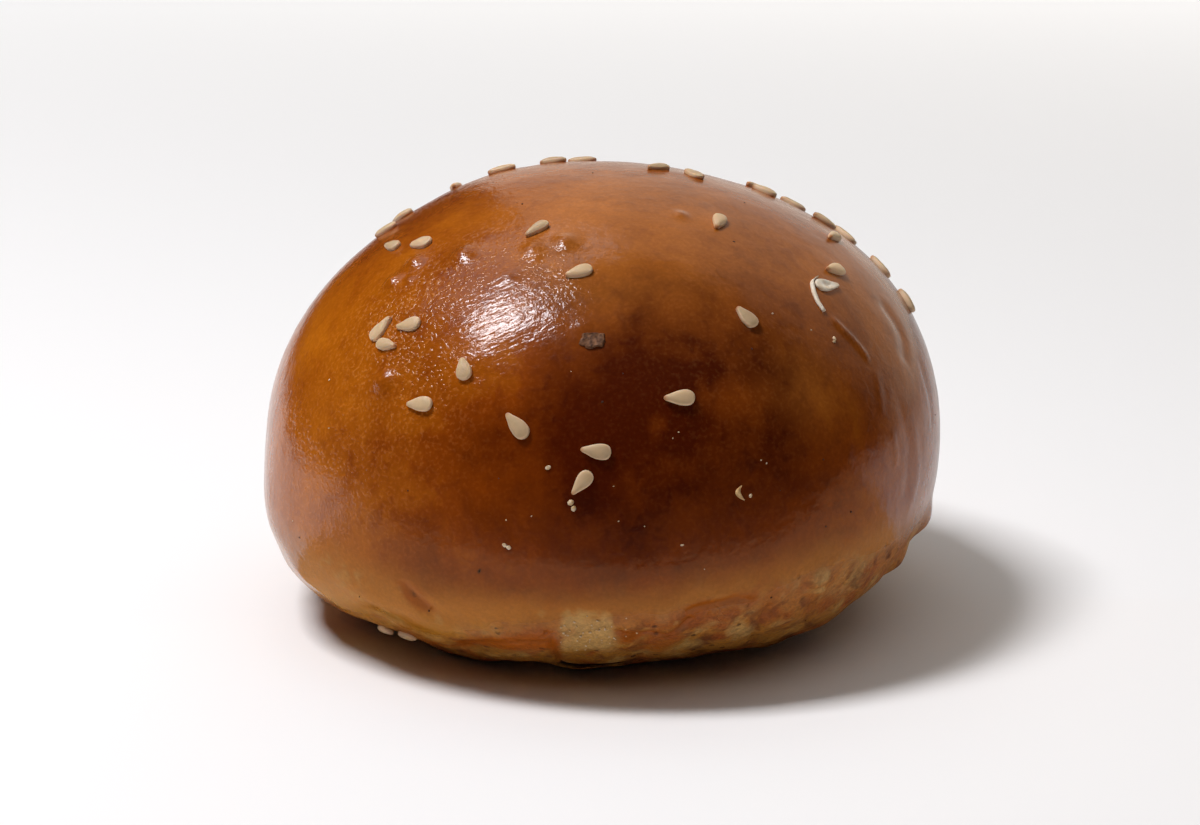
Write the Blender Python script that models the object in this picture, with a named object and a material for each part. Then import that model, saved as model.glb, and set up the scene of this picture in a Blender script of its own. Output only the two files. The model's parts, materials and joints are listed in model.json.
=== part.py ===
"""A sesame burger bun: one baked piece, tucked in over a flat underside, with its seeds fused on.

The bun stands on the XY plane with +Z up and its front towards -Y. A place on the crust is given
by two angles in degrees: around, from the front towards +X, and rise, from the belly up to 90 at
the crown and down to LOWEST_RISE at the tray.
"""

import math
import random

import bmesh
import bpy
from mathutils import Matrix, Vector, noise

MM = 0.001

# The bun's driving sizes
BUN_RADIUS = 43.0 * MM
BUN_HEIGHT = 55.3 * MM
BELLY_HEIGHT = 18.3 * MM
DOME_POWER = 2.1
TUCK_POWER = 2.2
TUCK_DEPTH = 22.2 * MM
LEAN = 2.4 * MM
LEAN_PIVOT = 0.4
LOWEST_RISE = -math.degrees(math.asin((BELLY_HEIGHT / TUCK_DEPTH) ** (TUCK_POWER / 2)))

# The foot that spread on the tray, and the flat disc inside its edge that the bun stands on
FOOT_HEIGHT = 1.5 * MM
FOOT_SPREAD = 1.0 * MM
FOOT_LIFT = 0.35 * MM
FOOT_WAVES = 3.0
FOOT_EDGE = 2.0 * MM

# Where the foot spread further or lifted off the tray: around, breadth in degrees, spread and lift
FOOT_LOBES = (
    (-39, 9, 1.2 * MM, -0.2 * MM),
    (-17, 7, -0.3 * MM, 0.4 * MM),
    (-3, 6, 0.9 * MM, -0.3 * MM),
    (30, 20, -0.3 * MM, 0.4 * MM),
)

# Facets of the crust
ROUND_STEPS = 88
DOME_STEPS = 19
TUCK_STEPS = 12

# Soft unevenness of the whole crust and crags of the pale skirt under it
LUMP_SIZE = 17.0 * MM
LUMP_HEIGHT = 0.30 * MM
SKIRT_TOP = 15.0 * MM
SKIRT_FADE = 7.0 * MM
CRAG_SIZE = 5.0 * MM
CRAG_HEIGHT = 0.6 * MM

# Swells and dents of the crust: around, rise, breadth and height
SWELLS = (
    (-68, -26, 16.0 * MM, 1.1 * MM),
    (-84, 0, 9.0 * MM, -0.7 * MM),
    (-90, 22, 15.0 * MM, 0.4 * MM),
    (-130, 66, 12.0 * MM, 0.9 * MM),
    (92, 22, 15.0 * MM, 0.8 * MM),
    (70, -14, 12.0 * MM, -0.7 * MM),
    (52, -37, 9.0 * MM, 0.9 * MM),
    (-46, -48, 6.0 * MM, -0.8 * MM),
    (-28, -53, 5.0 * MM, 0.6 * MM),
    (78, -12, 2.2 * MM, 0.9 * MM),
    (69, -22, 2.2 * MM, 1.0 * MM),
)

# A sesame seed's sizes
SEED_LENGTH = 3.45 * MM
SEED_WIDTH = 2.1 * MM
SEED_THICKNESS = 1.05 * MM
SEED_LIFT = 0.3 * MM
SEED_TAPER = 0.42
SEED_BLUNTNESS = 0.6
SEED_SMALLEST = 0.93
SEED_VARIETY = 0.14
SEED_SIDES = 8
SEED_BANDS = 3
GOLDEN = 0.618034

# Seeds on the near side: around, rise, the way the tip points, and breadth against a flat one
NEAR_SEEDS = (
    (-50, 36.5, 75, 0.7),
    (-46, 34, 6, 0.8),
    (-43.5, 38.5, -155, 0.9),
    (-27, 32.5, 113, 1.0),
    (-33.5, 25, -169, 1.0),
    (-75, 51, -157, 0.9),
    (-64, 54.5, -145, 0.9),
    (-96, 50, -105, 1.0),
    (-108, 51, -112, 1.0),
    (-28, 64.5, -111, 0.9),
    (-8.5, 54, -153, 1.0),
    (-165, 71, -15, 1.0),
    (-146, 73, -27, 1.0),
    (121, 82, 98, 1.0),
    (104, 77, 20, 0.9),
    (-123, 58, 30, 0.9),
    (-128, 67, -40, 1.0),
    (122, 61, 106, 0.9),
    (112, 62, 55, 1.0),
    (116, 54, 64, 1.0),
    (42.5, 65, -142, 1.0),
    (29.5, 42.5, 116, 1.0),
    (103, 51, 90, 1.0),
    (85, 51, 162, 0.9),
    (106, 45, 56, 1.0),
    (65.5, 47, 161, 1.0),
    (57.5, 45, 156, 0.8),
    (101, 37, 63, 1.0),
    (93, 31, 70, 1.0),
    (-15, 23.5, 136, 1.0),
    (-1.5, 19.5, 174, 1.0),
    (-3.5, 14, -129, 1.0),
    (12.5, 28.5, 178, 1.0),
    (-49, -41, -165, 0.8),
    (-42, -42, -170, 0.8),
)

# Seeds strewn over the far side and the crown
FAR_SEEDS = 30
FAR_SEEDS_DRAW = 12
FAR_SEEDS_LOWEST = 14
SEED_SPACING = 4.2 * MM
NEAR_VIEW = Vector((0, -math.cos(math.radians(16)), math.sin(math.radians(16))))
FAR_SIDE = -0.16

# A burnt flake, a little narrower at its top than where it sits
FLAKE_PLACE = (-3, 39)
FLAKE_RADIUS = 1.4 * MM
FLAKE_THICKNESS = 0.7 * MM
FLAKE_TOP = 0.8
FLAKE_NARROWING = 0.85
FLAKE_RAGGEDNESS = 0.35
FLAKE_SIDES = 7

# The husk that came off one seed
HUSK_PLACES = ((53.5, 46.5), (51.5, 44.5), (50.5, 42.5), (50.5, 40.5))
HUSK_RADIUS = 0.3 * MM
HUSK_TAPER = 0.2
HUSK_LIFT = 0.4 * HUSK_RADIUS

# Creases sharper than this stay crisp, and directions are probed over this step, in degrees
CRISP_ANGLE = 35
PROBE = 0.5

# Finishes
CRUST_COLOUR = (0.30, 0.09, 0.015, 1)
SEED_COLOUR = (0.72, 0.56, 0.36, 1)
FLAKE_COLOUR = (0.05, 0.02, 0.015, 1)


def smooth_crust(around, rise):
    """A point of the even bun, before its swells, lumps and crags."""
    climb = math.radians(abs(rise))
    if rise >= 0:
        power, depth = DOME_POWER, BUN_HEIGHT - BELLY_HEIGHT
    else:
        power, depth = TUCK_POWER, -TUCK_DEPTH
    reach = BUN_RADIUS * max(math.cos(climb), 0.0) ** (2 / power)
    height = max(BELLY_HEIGHT + depth * math.sin(climb) ** (2 / power), 0.0)
    lean = LEAN * (height / BUN_HEIGHT - LEAN_PIVOT)
    heading = math.radians(around)
    return Vector((reach * math.sin(heading) + lean, -reach * math.cos(heading), height))


def outward(around, rise):
    """The even bun's outward direction."""
    rise = min(rise, 90 - PROBE)
    along = smooth_crust(around + PROBE, rise) - smooth_crust(around - PROBE, rise)
    up = smooth_crust(around, rise + PROBE) - smooth_crust(around, rise - PROBE)
    return along.cross(up).normalized()


def blend(low, high, value):
    """0 below low, 1 above high, and a soft ramp between."""
    share = min(max((value - low) / (high - low), 0.0), 1.0)
    return share * share * (3 - 2 * share)


SWELL_CENTRES = [(smooth_crust(around, rise), breadth, height) for around, rise, breadth, height in SWELLS]


def relief(point):
    """How far the crust stands out from the even bun at a point of it."""
    height = LUMP_HEIGHT * noise.noise(point / LUMP_SIZE)
    skirt = 1 - blend(SKIRT_TOP - SKIRT_FADE, SKIRT_TOP, point.z)
    height += skirt * CRAG_HEIGHT * noise.noise(point / CRAG_SIZE)
    for centre, breadth, swell in SWELL_CENTRES:
        height += swell * math.exp(-((point - centre).length / breadth) ** 2)
    return height


def foot(around):
    """How far the foot spreads outwards and how far its edge lifts off the tray."""
    heading = math.radians(around)
    wave = noise.noise(Vector((math.sin(heading), math.cos(heading), 0)) * FOOT_WAVES)
    spread = FOOT_SPREAD * (1 + wave)
    lift = FOOT_LIFT * (1 - wave)
    for middle, breadth, lobe_spread, lobe_lift in FOOT_LOBES:
        away = (around - middle + 180) % 360 - 180
        share = math.exp(-((away / breadth) ** 2))
        spread += lobe_spread * share
        lift += lobe_lift * share
    return spread, max(lift, 0.0)


def crust_point(around, rise):
    """A point of the crust, with the foot's edge at the lowest rise."""
    point = smooth_crust(around, rise)
    step = outward(around, rise) * relief(point)
    step.z *= blend(0.0, FOOT_HEIGHT, point.z)
    heading = math.radians(around)
    near_tray = math.exp(-((point.z / FOOT_HEIGHT) ** 2))
    spread, lift = foot(around)
    push = Vector((math.sin(heading) * spread, -math.cos(heading) * spread, lift))
    return point + step + push * near_tray


def add_material(mesh, name, colour, roughness):
    """Give a mesh a plain Principled material."""
    material = bpy.data.materials.get(name) or bpy.data.materials.new(name)
    material.use_nodes = True
    shader = material.node_tree.nodes["Principled BSDF"]
    shader.inputs["Base Color"].default_value = colour
    shader.inputs["Roughness"].default_value = roughness
    material.diffuse_color = colour
    mesh.materials.append(material)


def add_object(name, sculpt, colour, roughness, collection):
    """Make an object from a bmesh, shaded smooth, in its own finish."""
    mesh = bpy.data.meshes.new(name)
    sculpt.to_mesh(mesh)
    sculpt.free()
    mesh.shade_smooth()
    add_material(mesh, name.split(".")[0] + " finish", colour, roughness)
    piece = bpy.data.objects.new(name, mesh)
    collection.objects.link(piece)
    return piece


def make_crust(collection):
    """The bun itself: rings of facets from a flat underside up to the crown."""
    tuck = [LOWEST_RISE * (1 - step / TUCK_STEPS) for step in range(TUCK_STEPS)]
    dome = [90 * step / DOME_STEPS for step in range(DOME_STEPS)]
    sculpt = bmesh.new()
    rings = []
    for rise in tuck + dome:
        arounds = [360 * step / ROUND_STEPS for step in range(ROUND_STEPS)]
        rings.append([sculpt.verts.new(crust_point(around, rise)) for around in arounds])
    for low, high in zip(rings, rings[1:]):
        for step in range(ROUND_STEPS):
            after = (step + 1) % ROUND_STEPS
            sculpt.faces.new((low[step], low[after], high[after], high[step]))
    crown = sculpt.verts.new(crust_point(0, 90))
    for step in range(ROUND_STEPS):
        sculpt.faces.new((rings[-1][step], rings[-1][(step + 1) % ROUND_STEPS], crown))
    underside = sculpt.faces.new(reversed(rings[0]))
    bmesh.ops.inset_individual(sculpt, faces=[underside], thickness=FOOT_EDGE)
    for corner in underside.verts:
        corner.co.z = 0
    return add_object("bun", sculpt, CRUST_COLOUR, 0.3, collection)


def standing_frame(around, rise, heading, lift):
    """Axes on the crust: X along the heading, Z out of the crust."""
    normal = outward(around, rise)
    east = Vector((math.cos(math.radians(around)), math.sin(math.radians(around)), 0))
    north = normal.cross(east).normalized()
    east = north.cross(normal)
    forward = east * math.cos(math.radians(heading)) + north * math.sin(math.radians(heading))
    side = normal.cross(forward)
    place = crust_point(around, rise) + normal * lift
    return Matrix.LocRotScale(place, Matrix((forward, side, normal)).transposed(), None)


def make_seed(index, around, rise, heading, breadth, collection):
    """One sesame seed: a flat drop with a pointed tip, a little sunk in the crust."""
    size = SEED_SMALLEST + SEED_VARIETY * (index * GOLDEN % 1)
    sculpt = bmesh.new()
    bmesh.ops.create_uvsphere(sculpt, u_segments=SEED_SIDES, v_segments=SEED_BANDS, radius=1)
    for corner in sculpt.verts:
        x, y, z = corner.co
        corner.co.x = x * size * SEED_LENGTH / 2
        corner.co.y = y * (1 - SEED_TAPER * x) * size * breadth * SEED_WIDTH / 2
        corner.co.z = math.copysign(abs(z) ** SEED_BLUNTNESS, z) * SEED_THICKNESS / 2
    sculpt.transform(standing_frame(around, rise, heading, SEED_LIFT))
    return add_object(f"seed.{index:02d}", sculpt, SEED_COLOUR, 0.55, collection)


def far_seed_places():
    """Places strewn over the far side and the crown, each clear of its neighbours."""
    draw = random.Random(FAR_SEEDS_DRAW)
    lowest = math.sin(math.radians(FAR_SEEDS_LOWEST))
    taken = [smooth_crust(around, rise) for around, rise, heading, breadth in NEAR_SEEDS]
    places = []
    while len(places) < FAR_SEEDS:
        around = draw.uniform(-180, 180)
        rise = math.degrees(math.asin(draw.uniform(lowest, 1)))
        heading = draw.uniform(-180, 180)
        point = smooth_crust(around, rise)
        far = outward(around, rise).dot(NEAR_VIEW) < FAR_SIDE
        if far and all((point - other).length > SEED_SPACING for other in taken):
            taken.append(point)
            places.append((around, rise, heading, 1.0))
    return places


def make_flake(collection):
    """The burnt flake: a rough chip stuck to the crust."""
    sculpt = bmesh.new()
    bmesh.ops.create_cone(sculpt, cap_ends=True, segments=FLAKE_SIDES, radius1=FLAKE_RADIUS,
                          radius2=FLAKE_RADIUS * FLAKE_TOP, depth=FLAKE_THICKNESS)
    for corner in sculpt.verts:
        ragged = 1 + FLAKE_RAGGEDNESS * noise.noise(corner.co / FLAKE_RADIUS)
        corner.co.x *= ragged
        corner.co.y *= ragged * FLAKE_NARROWING
    sculpt.transform(standing_frame(*FLAKE_PLACE, 0, 0))
    return add_object("flake", sculpt, FLAKE_COLOUR, 0.6, collection)


def make_husk(collection):
    """The husk peeled off a seed: a thin bent sliver lying on the crust."""
    spine = [standing_frame(around, rise, -90, HUSK_LIFT) for around, rise in HUSK_PLACES]
    sculpt = bmesh.new()
    rings = []
    for index, frame in enumerate(spine):
        radius = HUSK_RADIUS * (1 - HUSK_TAPER * index)
        corners = [(0, radius, 0), (0, 0, radius), (0, -radius, 0), (0, 0, -radius)]
        rings.append([sculpt.verts.new(frame @ Vector(corner)) for corner in corners])
    for near, far in zip(rings, rings[1:]):
        for step in range(4):
            after = (step + 1) % 4
            sculpt.faces.new((near[step], near[after], far[after], far[step]))
    sculpt.faces.new(reversed(rings[0]))
    sculpt.faces.new(rings[-1])
    bmesh.ops.recalc_face_normals(sculpt, faces=sculpt.faces)
    return add_object("husk", sculpt, SEED_COLOUR, 0.55, collection)


def fuse(bun, toppings):
    """Join the toppings to the bun in one union and drop the separate pieces."""
    union = bun.modifiers.new("fuse the toppings", "BOOLEAN")
    union.operation = "UNION"
    union.operand_type = "COLLECTION"
    union.collection = toppings
    union.solver = "EXACT"
    union.material_mode = "TRANSFER"
    graph = bpy.context.evaluated_depsgraph_get()
    fused = bpy.data.meshes.new_from_object(bun.evaluated_get(graph))
    bun.modifiers.clear()
    bun.data = fused
    fused.name = "bun"
    fused.set_sharp_from_angle(angle=math.radians(CRISP_ANGLE))
    for topping in list(toppings.objects):
        bpy.data.objects.remove(topping)
    bpy.data.collections.remove(toppings)


def clear_scene():
    """Start from an empty scene."""
    for old in list(bpy.data.objects):
        bpy.data.objects.remove(old)


def main():
    """Model the bun and fuse its toppings onto it."""
    clear_scene()
    scene = bpy.context.scene.collection
    toppings = bpy.data.collections.new("toppings")
    scene.children.link(toppings)
    bun = make_crust(scene)
    for index, place in enumerate(list(NEAR_SEEDS) + far_seed_places()):
        make_seed(index, *place, toppings)
    make_flake(toppings)
    make_husk(toppings)
    fuse(bun, toppings)


if __name__ == "__main__":
    main()
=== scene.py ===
"""A sesame burger bun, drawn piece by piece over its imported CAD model.

The bun stands on the XY plane in metres, with +Z up and its front towards -Y. A place on the crust is
two angles in degrees: around, from the front towards +X, and rise, from the belly up to 90 at the
crown and down to LOWEST_RISE at the tray.
"""

import json
import math
import random

import bmesh
import bpy
import numpy as np
from mathutils import Matrix, Vector, noise

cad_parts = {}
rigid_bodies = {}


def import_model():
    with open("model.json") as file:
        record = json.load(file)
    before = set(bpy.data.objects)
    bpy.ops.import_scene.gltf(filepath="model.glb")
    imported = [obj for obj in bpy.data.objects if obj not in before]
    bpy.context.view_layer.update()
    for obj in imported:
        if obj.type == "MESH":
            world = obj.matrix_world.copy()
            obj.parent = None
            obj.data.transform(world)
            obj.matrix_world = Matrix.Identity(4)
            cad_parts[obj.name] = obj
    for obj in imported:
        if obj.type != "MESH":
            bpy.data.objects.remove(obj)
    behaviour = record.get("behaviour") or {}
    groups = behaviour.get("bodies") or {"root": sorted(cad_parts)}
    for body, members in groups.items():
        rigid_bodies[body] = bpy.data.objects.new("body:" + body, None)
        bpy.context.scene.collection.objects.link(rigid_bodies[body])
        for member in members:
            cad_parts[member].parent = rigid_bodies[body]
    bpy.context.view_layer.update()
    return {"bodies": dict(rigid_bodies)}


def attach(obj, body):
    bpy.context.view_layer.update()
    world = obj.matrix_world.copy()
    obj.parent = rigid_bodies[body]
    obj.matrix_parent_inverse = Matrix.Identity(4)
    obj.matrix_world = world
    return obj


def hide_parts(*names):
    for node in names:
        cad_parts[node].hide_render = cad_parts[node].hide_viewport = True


bl_info = {
    "name": "Sesame burger bun",
    "version": (1, 0, 0),
    "blender": (4, 5, 0),
    "location": "3D View > Sidebar > Bun",
    "description": "Makes a baked, egg-washed burger bun with its sesame seeds and crumbs",
    "category": "Add Mesh",
}

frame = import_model()
BODY = next(iter(frame["bodies"]))

MM = 0.001

# The even bun: a dome over a tuck that runs in to the foot
DOME_POWER = 2.1
TUCK_POWER = 2.2
TUCK_DEPTH = 22.2 * MM
LEAN = 2.4 * MM
LEAN_PIVOT = 0.4
BELLY_HEIGHT = 18.3 * MM
LOWEST_RISE = -math.degrees(math.asin((BELLY_HEIGHT / TUCK_DEPTH) ** (TUCK_POWER / 2)))

# The foot that spread on the tray, and the flat disc inside its edge that the bun stands on
FOOT_HEIGHT = 1.5 * MM
FOOT_SPREAD = 1.0 * MM
FOOT_LIFT = 0.35 * MM
FOOT_WAVES = 3.0
FOOT_EDGE = 2.0 * MM

# Where the foot spread further or lifted off the tray: around, breadth in degrees, spread and lift
FOOT_LOBES = (
    (-39, 9, 1.2 * MM, -0.2 * MM),
    (-17, 7, -0.3 * MM, 0.4 * MM),
    (-3, 6, 0.9 * MM, -0.3 * MM),
    (30, 20, -0.3 * MM, 0.4 * MM),
)

# Soft unevenness of the whole crust and crags of the pale skirt under it
LUMP_SIZE = 17.0 * MM
LUMP_HEIGHT = 0.30 * MM
SKIRT_TOP = 15.0 * MM
SKIRT_FADE = 7.0 * MM
CRAG_SIZE = 5.0 * MM
CRAG_HEIGHT = 0.6 * MM

# Swells and dents of the crust: around, rise, breadth and height
SWELLS = (
    (-68, -26, 16.0 * MM, 1.1 * MM),
    (-84, 0, 9.0 * MM, -0.7 * MM),
    (-90, 22, 15.0 * MM, 0.4 * MM),
    (-130, 66, 12.0 * MM, 0.9 * MM),
    (92, 22, 15.0 * MM, 0.8 * MM),
    (70, -14, 12.0 * MM, -0.7 * MM),
    (52, -37, 9.0 * MM, 0.9 * MM),
    (-46, -48, 6.0 * MM, -0.8 * MM),
    (-28, -53, 5.0 * MM, 0.6 * MM),
    (78, -12, 2.2 * MM, 0.9 * MM),
    (69, -22, 2.2 * MM, 1.0 * MM),
)

# Small blisters and dimples: around, rise, breadth and height
BLISTERS = (
    (-44.5, 55, 1.8 * MM, 0.80 * MM),
    (-24.5, 59.5, 1.3 * MM, 0.52 * MM),
    (-22, 57, 0.6 * MM, 0.16 * MM),
    (-15.5, 62, 1.4 * MM, 0.62 * MM),
    (-27, 52, 1.1 * MM, 0.16 * MM),
    (-58, 50.5, 1.2 * MM, 0.75 * MM),
    (-58.5, 45.5, 1.2 * MM, 0.78 * MM),
    (-54, 47, 0.7 * MM, 0.36 * MM),
    (-43, 27.5, 1.3 * MM, 0.76 * MM),
    (30.5, 69, 0.9 * MM, 0.35 * MM),
    (-24, 32, 0.7 * MM, -0.14 * MM),
    (8.5, 24, 0.8 * MM, -0.12 * MM),
    (36, -17, 0.6 * MM, -0.45 * MM),
    (38.5, -21, 0.8 * MM, -0.35 * MM),
    (9, -38.5, 0.5 * MM, -0.4 * MM),
    (30.5, -33, 0.5 * MM, -0.4 * MM),
    (38, -10, 1.8 * MM, 0.40 * MM),
    (40.5, -6.5, 0.8 * MM, 0.25 * MM),
    (24, -14, 1.0 * MM, 0.28 * MM),
    (27, -27, 1.5 * MM, 0.30 * MM),
    (24, -24, 1.4 * MM, 0.20 * MM),
)

# Scars, folds and cracks of the crust: places along it, breadth, height, and how rusty it baked
STROKES = (
    (((52, 38), (53.5, 35), (54.5, 33), (55.5, 30)), 0.4 * MM, 0.32 * MM, 0.0),
    (((73.5, 35), (73.5, 31.5), (72.5, 29), (69.5, 26.5)), 1.2 * MM, -0.26 * MM, 0.0),
    (((56, 14.5), (56.5, 12), (56, 9)), 0.4 * MM, 0.10 * MM, 0.0),
    (((60.5, 18), (61, 11), (59.5, 3)), 1.0 * MM, -0.08 * MM, 0.0),
    (((64, 12), (64, 4), (61, -4)), 1.0 * MM, 0.08 * MM, 0.0),
    (((75.5, 22), (75, 17), (74, 12)), 0.9 * MM, -0.09 * MM, 0.0),
    (((56.5, 26), (55.5, 23), (54.5, 20)), 0.6 * MM, 0.10 * MM, 0.0),
    (((44, 16.5), (43.5, 13.5)), 0.3 * MM, 0.08 * MM, 0.0),
    (((24, 13.5), (24.5, 14.5), (26, 15), (27.5, 16.5)), 0.3 * MM, -0.08 * MM, 0.0),
    (((15.5, 21), (16.5, 21.5), (18, 21)), 0.25 * MM, 0.06 * MM, 0.0),
    (((-6.2, 42.5), (-3.5, 43.3), (0, 42.9)), 0.5 * MM, 0.14 * MM, 0.0),
    (((3.5, -21.5), (6.5, -24), (9, -23.5), (12.5, -25), (13.5, -22), (15, -18)),
     0.24 * MM, -0.40 * MM, 0.75),
    (((15, -14.5), (17.5, -13.5), (20, -13), (22, -12), (25, -13.5)), 0.5 * MM, -0.25 * MM, 0.75),
    (((31.5, -35), (29, -28), (29, -22.5), (29, -17)), 0.34 * MM, -0.30 * MM, 0.3),
    (((38, -18), (37, -15), (35.5, -12.5), (33.5, -7.5)), 0.4 * MM, -0.25 * MM, 0.3),
    (((-32.5, -11), (-31.5, -13), (-30.5, -15), (-29.3, -17.5)), 0.8 * MM, -0.36 * MM, 0.7),
    (((-26, -34), (-19, -29.5), (-13, -27), (-8.5, -26)), 0.5 * MM, -0.15 * MM, 0.8),
    (((-37, -40), (-33, -39), (-29, -38), (-25, -36)), 0.5 * MM, -0.15 * MM, 0.7),
    (((-8.2, -22), (-7.5, -28), (-7.2, -36), (-7, -44)), 0.24 * MM, -0.30 * MM, 0.6),
)

# The gap where the foot stands off the tray under the pale patch, painted dark inside as its shadow: places,
# breadth and depth
GAP_PLACES = ((-6.5, -45.5), (-3, -46.5), (1, -45.5), (5, -44))
GAP_BREADTH = 1.0 * MM
GAP_DEPTH = 2.0 * MM

# How far a seed's bed stands up round it
BED_BREADTH = 2.6 * MM
BED_HEIGHT = 0.10 * MM

# Round the skirt: around, how high up it turns pale, and how high up its glaze ends
SKIRT_EDGES = (
    (-180, 13.0 * MM, 9.0 * MM),
    (-110, 13.0 * MM, 7.5 * MM),
    (-60, 15.0 * MM, 5.0 * MM),
    (-30, 14.0 * MM, 6.5 * MM),
    (-10, 13.8 * MM, 10.0 * MM),
    (0, 14.0 * MM, 11.0 * MM),
    (20, 15.7 * MM, 12.0 * MM),
    (38, 17.5 * MM, 14.5 * MM),
    (60, 16.5 * MM, 14.0 * MM),
    (110, 13.0 * MM, 10.0 * MM),
    (180, 13.0 * MM, 9.0 * MM),
)
PALE_SOFTNESS = 5.0 * MM
GLAZE_SOFTNESS = 2.2 * MM

# How far those edges wander up and down, in long waves and in shorter, lower ones
SKIRT_WANDER = 1.0 * MM
WANDER_LENGTH = 8 * MM
SHORT_WANDER_LENGTH = 2.5 * MM
SHORT_WANDER_SHARE = 0.6

# How brown the glaze baked on the whole, how far it drifts from that, and over what width
MIDDLE_BROWNING = 0.5
BROWNING_DRIFT = 0.18
BROWNING_DRIFT_SIZE = 20 * MM

# How much browner or lighter it baked here and there, in one place lighter as painted light: around, rise,
# breadth and share
BROWNING_AND_PAINTED_LIGHT = (
    (12, 18, 20 * MM, 0.42),
    (34, 24, 14 * MM, 0.12),
    (6, 34, 13 * MM, 0.20),
    (-9, 23, 9 * MM, 0.28),
    (-45, 27, 12 * MM, 0.08),
    (-19, 14, 7 * MM, 0.12),
    (-36, 10, 9 * MM, 0.24),
    (26, 16, 7 * MM, 0.20),
    (50, 26, 6 * MM, 0.10),
    (-52, 46, 9 * MM, 0.12),
    (-4, 57, 10 * MM, -0.06),
    (27, 40, 10 * MM, 0.10),
    (-2, 6, 6 * MM, 0.06),
    (20, 6, 9 * MM, -0.10),
    (18, -2, 8 * MM, -0.10),
    (-10, 10, 5 * MM, -0.10),
    (44, 27, 5 * MM, -0.08),
    (28, 21, 5 * MM, 0.10),
    (8, 13, 6 * MM, -0.05),
    (19, 28.5, 3.2 * MM, -0.14),
    (26.5, 27, 3.2 * MM, -0.12),
    (14, 32.5, 2 * MM, 0.16),
    (20, 32.8, 1.8 * MM, 0.18),
    (26.5, 31.5, 1.8 * MM, 0.18),
    (33, 30.5, 2.4 * MM, 0.18),
    (12, 21, 1.3 * MM, 0.30),
    (17, 24.5, 1.6 * MM, 0.14),
    (56, 30, 7 * MM, 0.07),
    (-19, 16, 6 * MM, 0.06),
    (-20, 33, 5 * MM, -0.14),
    # Painted light: lighter on the right, which lies in shade, in place of fill light
    (34, 1, 10 * MM, -0.14),
    (-58, 30, 26 * MM, -0.34),
    (-30, 66, 20 * MM, -0.16),
    (20, 60, 16 * MM, -0.08),
    (-24, 58, 8 * MM, 0.16),
    (-45, -8, 12 * MM, -0.25),
    (66, 12, 18 * MM, -0.20),
    (8.5, 24, 1.4 * MM, -0.35),
    (21, 27, 5 * MM, -0.26),
    (18, 38, 5 * MM, -0.12),
    (39.5, 24, 4.5 * MM, -0.28),
)

# Pale torn crumb, in two places also painted light on the shaded skirt, rusty stains and scorched places:
# around, rise, breadth and share
PALE_TORN_AND_PAINTED_LIGHT_PLACES = (
    (-4, -16, 1.7 * MM, 0.6),
    (0, -16.5, 1.9 * MM, 0.65),
    (-4, -23, 2.3 * MM, 0.75),
    (1, -23, 2.4 * MM, 0.75),
    (-4, -30, 2.1 * MM, 0.7),
    (1, -31, 2.1 * MM, 0.7),
    (24, -14, 1.1 * MM, 0.6),
    (24, -24, 1.5 * MM, 0.65),
    (27, -28, 2.0 * MM, 0.75),
    (18, -34, 2.4 * MM, 0.6),
    (38, -10, 1.8 * MM, 0.6),
    (41, -6, 0.9 * MM, 0.5),
    (13, -19, 0.7 * MM, 0.6),
    (-9, -15, 0.8 * MM, 0.45),
    (-28, -22, 1.4 * MM, 0.30),
    (-33.5, -12.5, 0.8 * MM, 0.45),
    (9, -36, 1.6 * MM, 0.6),
    # Painted light: pale here to lighten the skirt where it lies in shade
    (-39, -30, 3.0 * MM, 0.5),
    (-46, -16, 6.0 * MM, 0.3),
    # Painted light: pale here to lighten the skirt where it lies in shade
    (47, -16, 5.0 * MM, 0.5),
    (38, -30, 2.5 * MM, 0.4),
)
RUSTY_PLACES = (
    (-31, -14, 1.5 * MM, 0.8),
    (-10.5, -26, 2.4 * MM, 0.9),
    (-17, -31, 2.6 * MM, 0.8),
    (5.5, -26, 1.7 * MM, 0.9),
    (12, -31, 2.0 * MM, 0.6),
    (28, -10, 3.4 * MM, 0.55),
    (16, -15, 1.5 * MM, 0.7),
    (39, -24, 4.0 * MM, 0.30),
    (-38, -34, 2.4 * MM, 0.6),
    (-46, -35, 1.6 * MM, 0.4),
    (66, -18, 3.0 * MM, 0.35),
)
SCORCHED_PLACES = (
    (-52.5, 20, 0.28 * MM, 0.9),
    (-19, -3, 0.30 * MM, 1.0),
    (-17, -22.5, 0.26 * MM, 1.0),
    (-31.4, -14, 0.5 * MM, 0.25),
    (36, -17, 0.5 * MM, 0.6),
    (9, -38.5, 0.45 * MM, 0.8),
    (30.5, -33, 0.45 * MM, 0.8),
    (30.5, 69, 0.7 * MM, 0.35),
)

# Where the glaze dried thin and dull, its greyer tone partly a painted sheen: around, rise, breadth and share
DULL_AND_SHEEN_PLACES = (
    (70, 34, 14 * MM, 0.8),
    (25, 62, 17 * MM, 0.8),
    (-8, 54, 8 * MM, 0.5),
    (0, 80, 18 * MM, 0.5),
    (-45, -4, 15 * MM, 0.4),
    (37, 28, 6 * MM, 0.55),
)

# How sharply the pale places end, how far their edges fray, and how wide the frays are
EDGE_SHARPNESS = 4
FRAY_DEPTH = 0.4 * MM
FRAY_SIZE = 0.9 * MM

# How far a crack's stain runs past it, how dark its bottom is, and how much roughness a stain takes away
STAIN_REACH = 0.5 * MM
CRACK_DARKNESS = 0.45
POOLED_GLOSS = 0.6

# The dark line painted round the bottom of the foot: how high it goes, how long its breaks are, and where it
# sets in and is full along the noise that breaks it
FOOT_SHADE = 0.8 * MM
FOOT_SHADE_BREAKS = 5 * MM
FOOT_SHADE_EDGE = (-0.3, 0.5)

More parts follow.
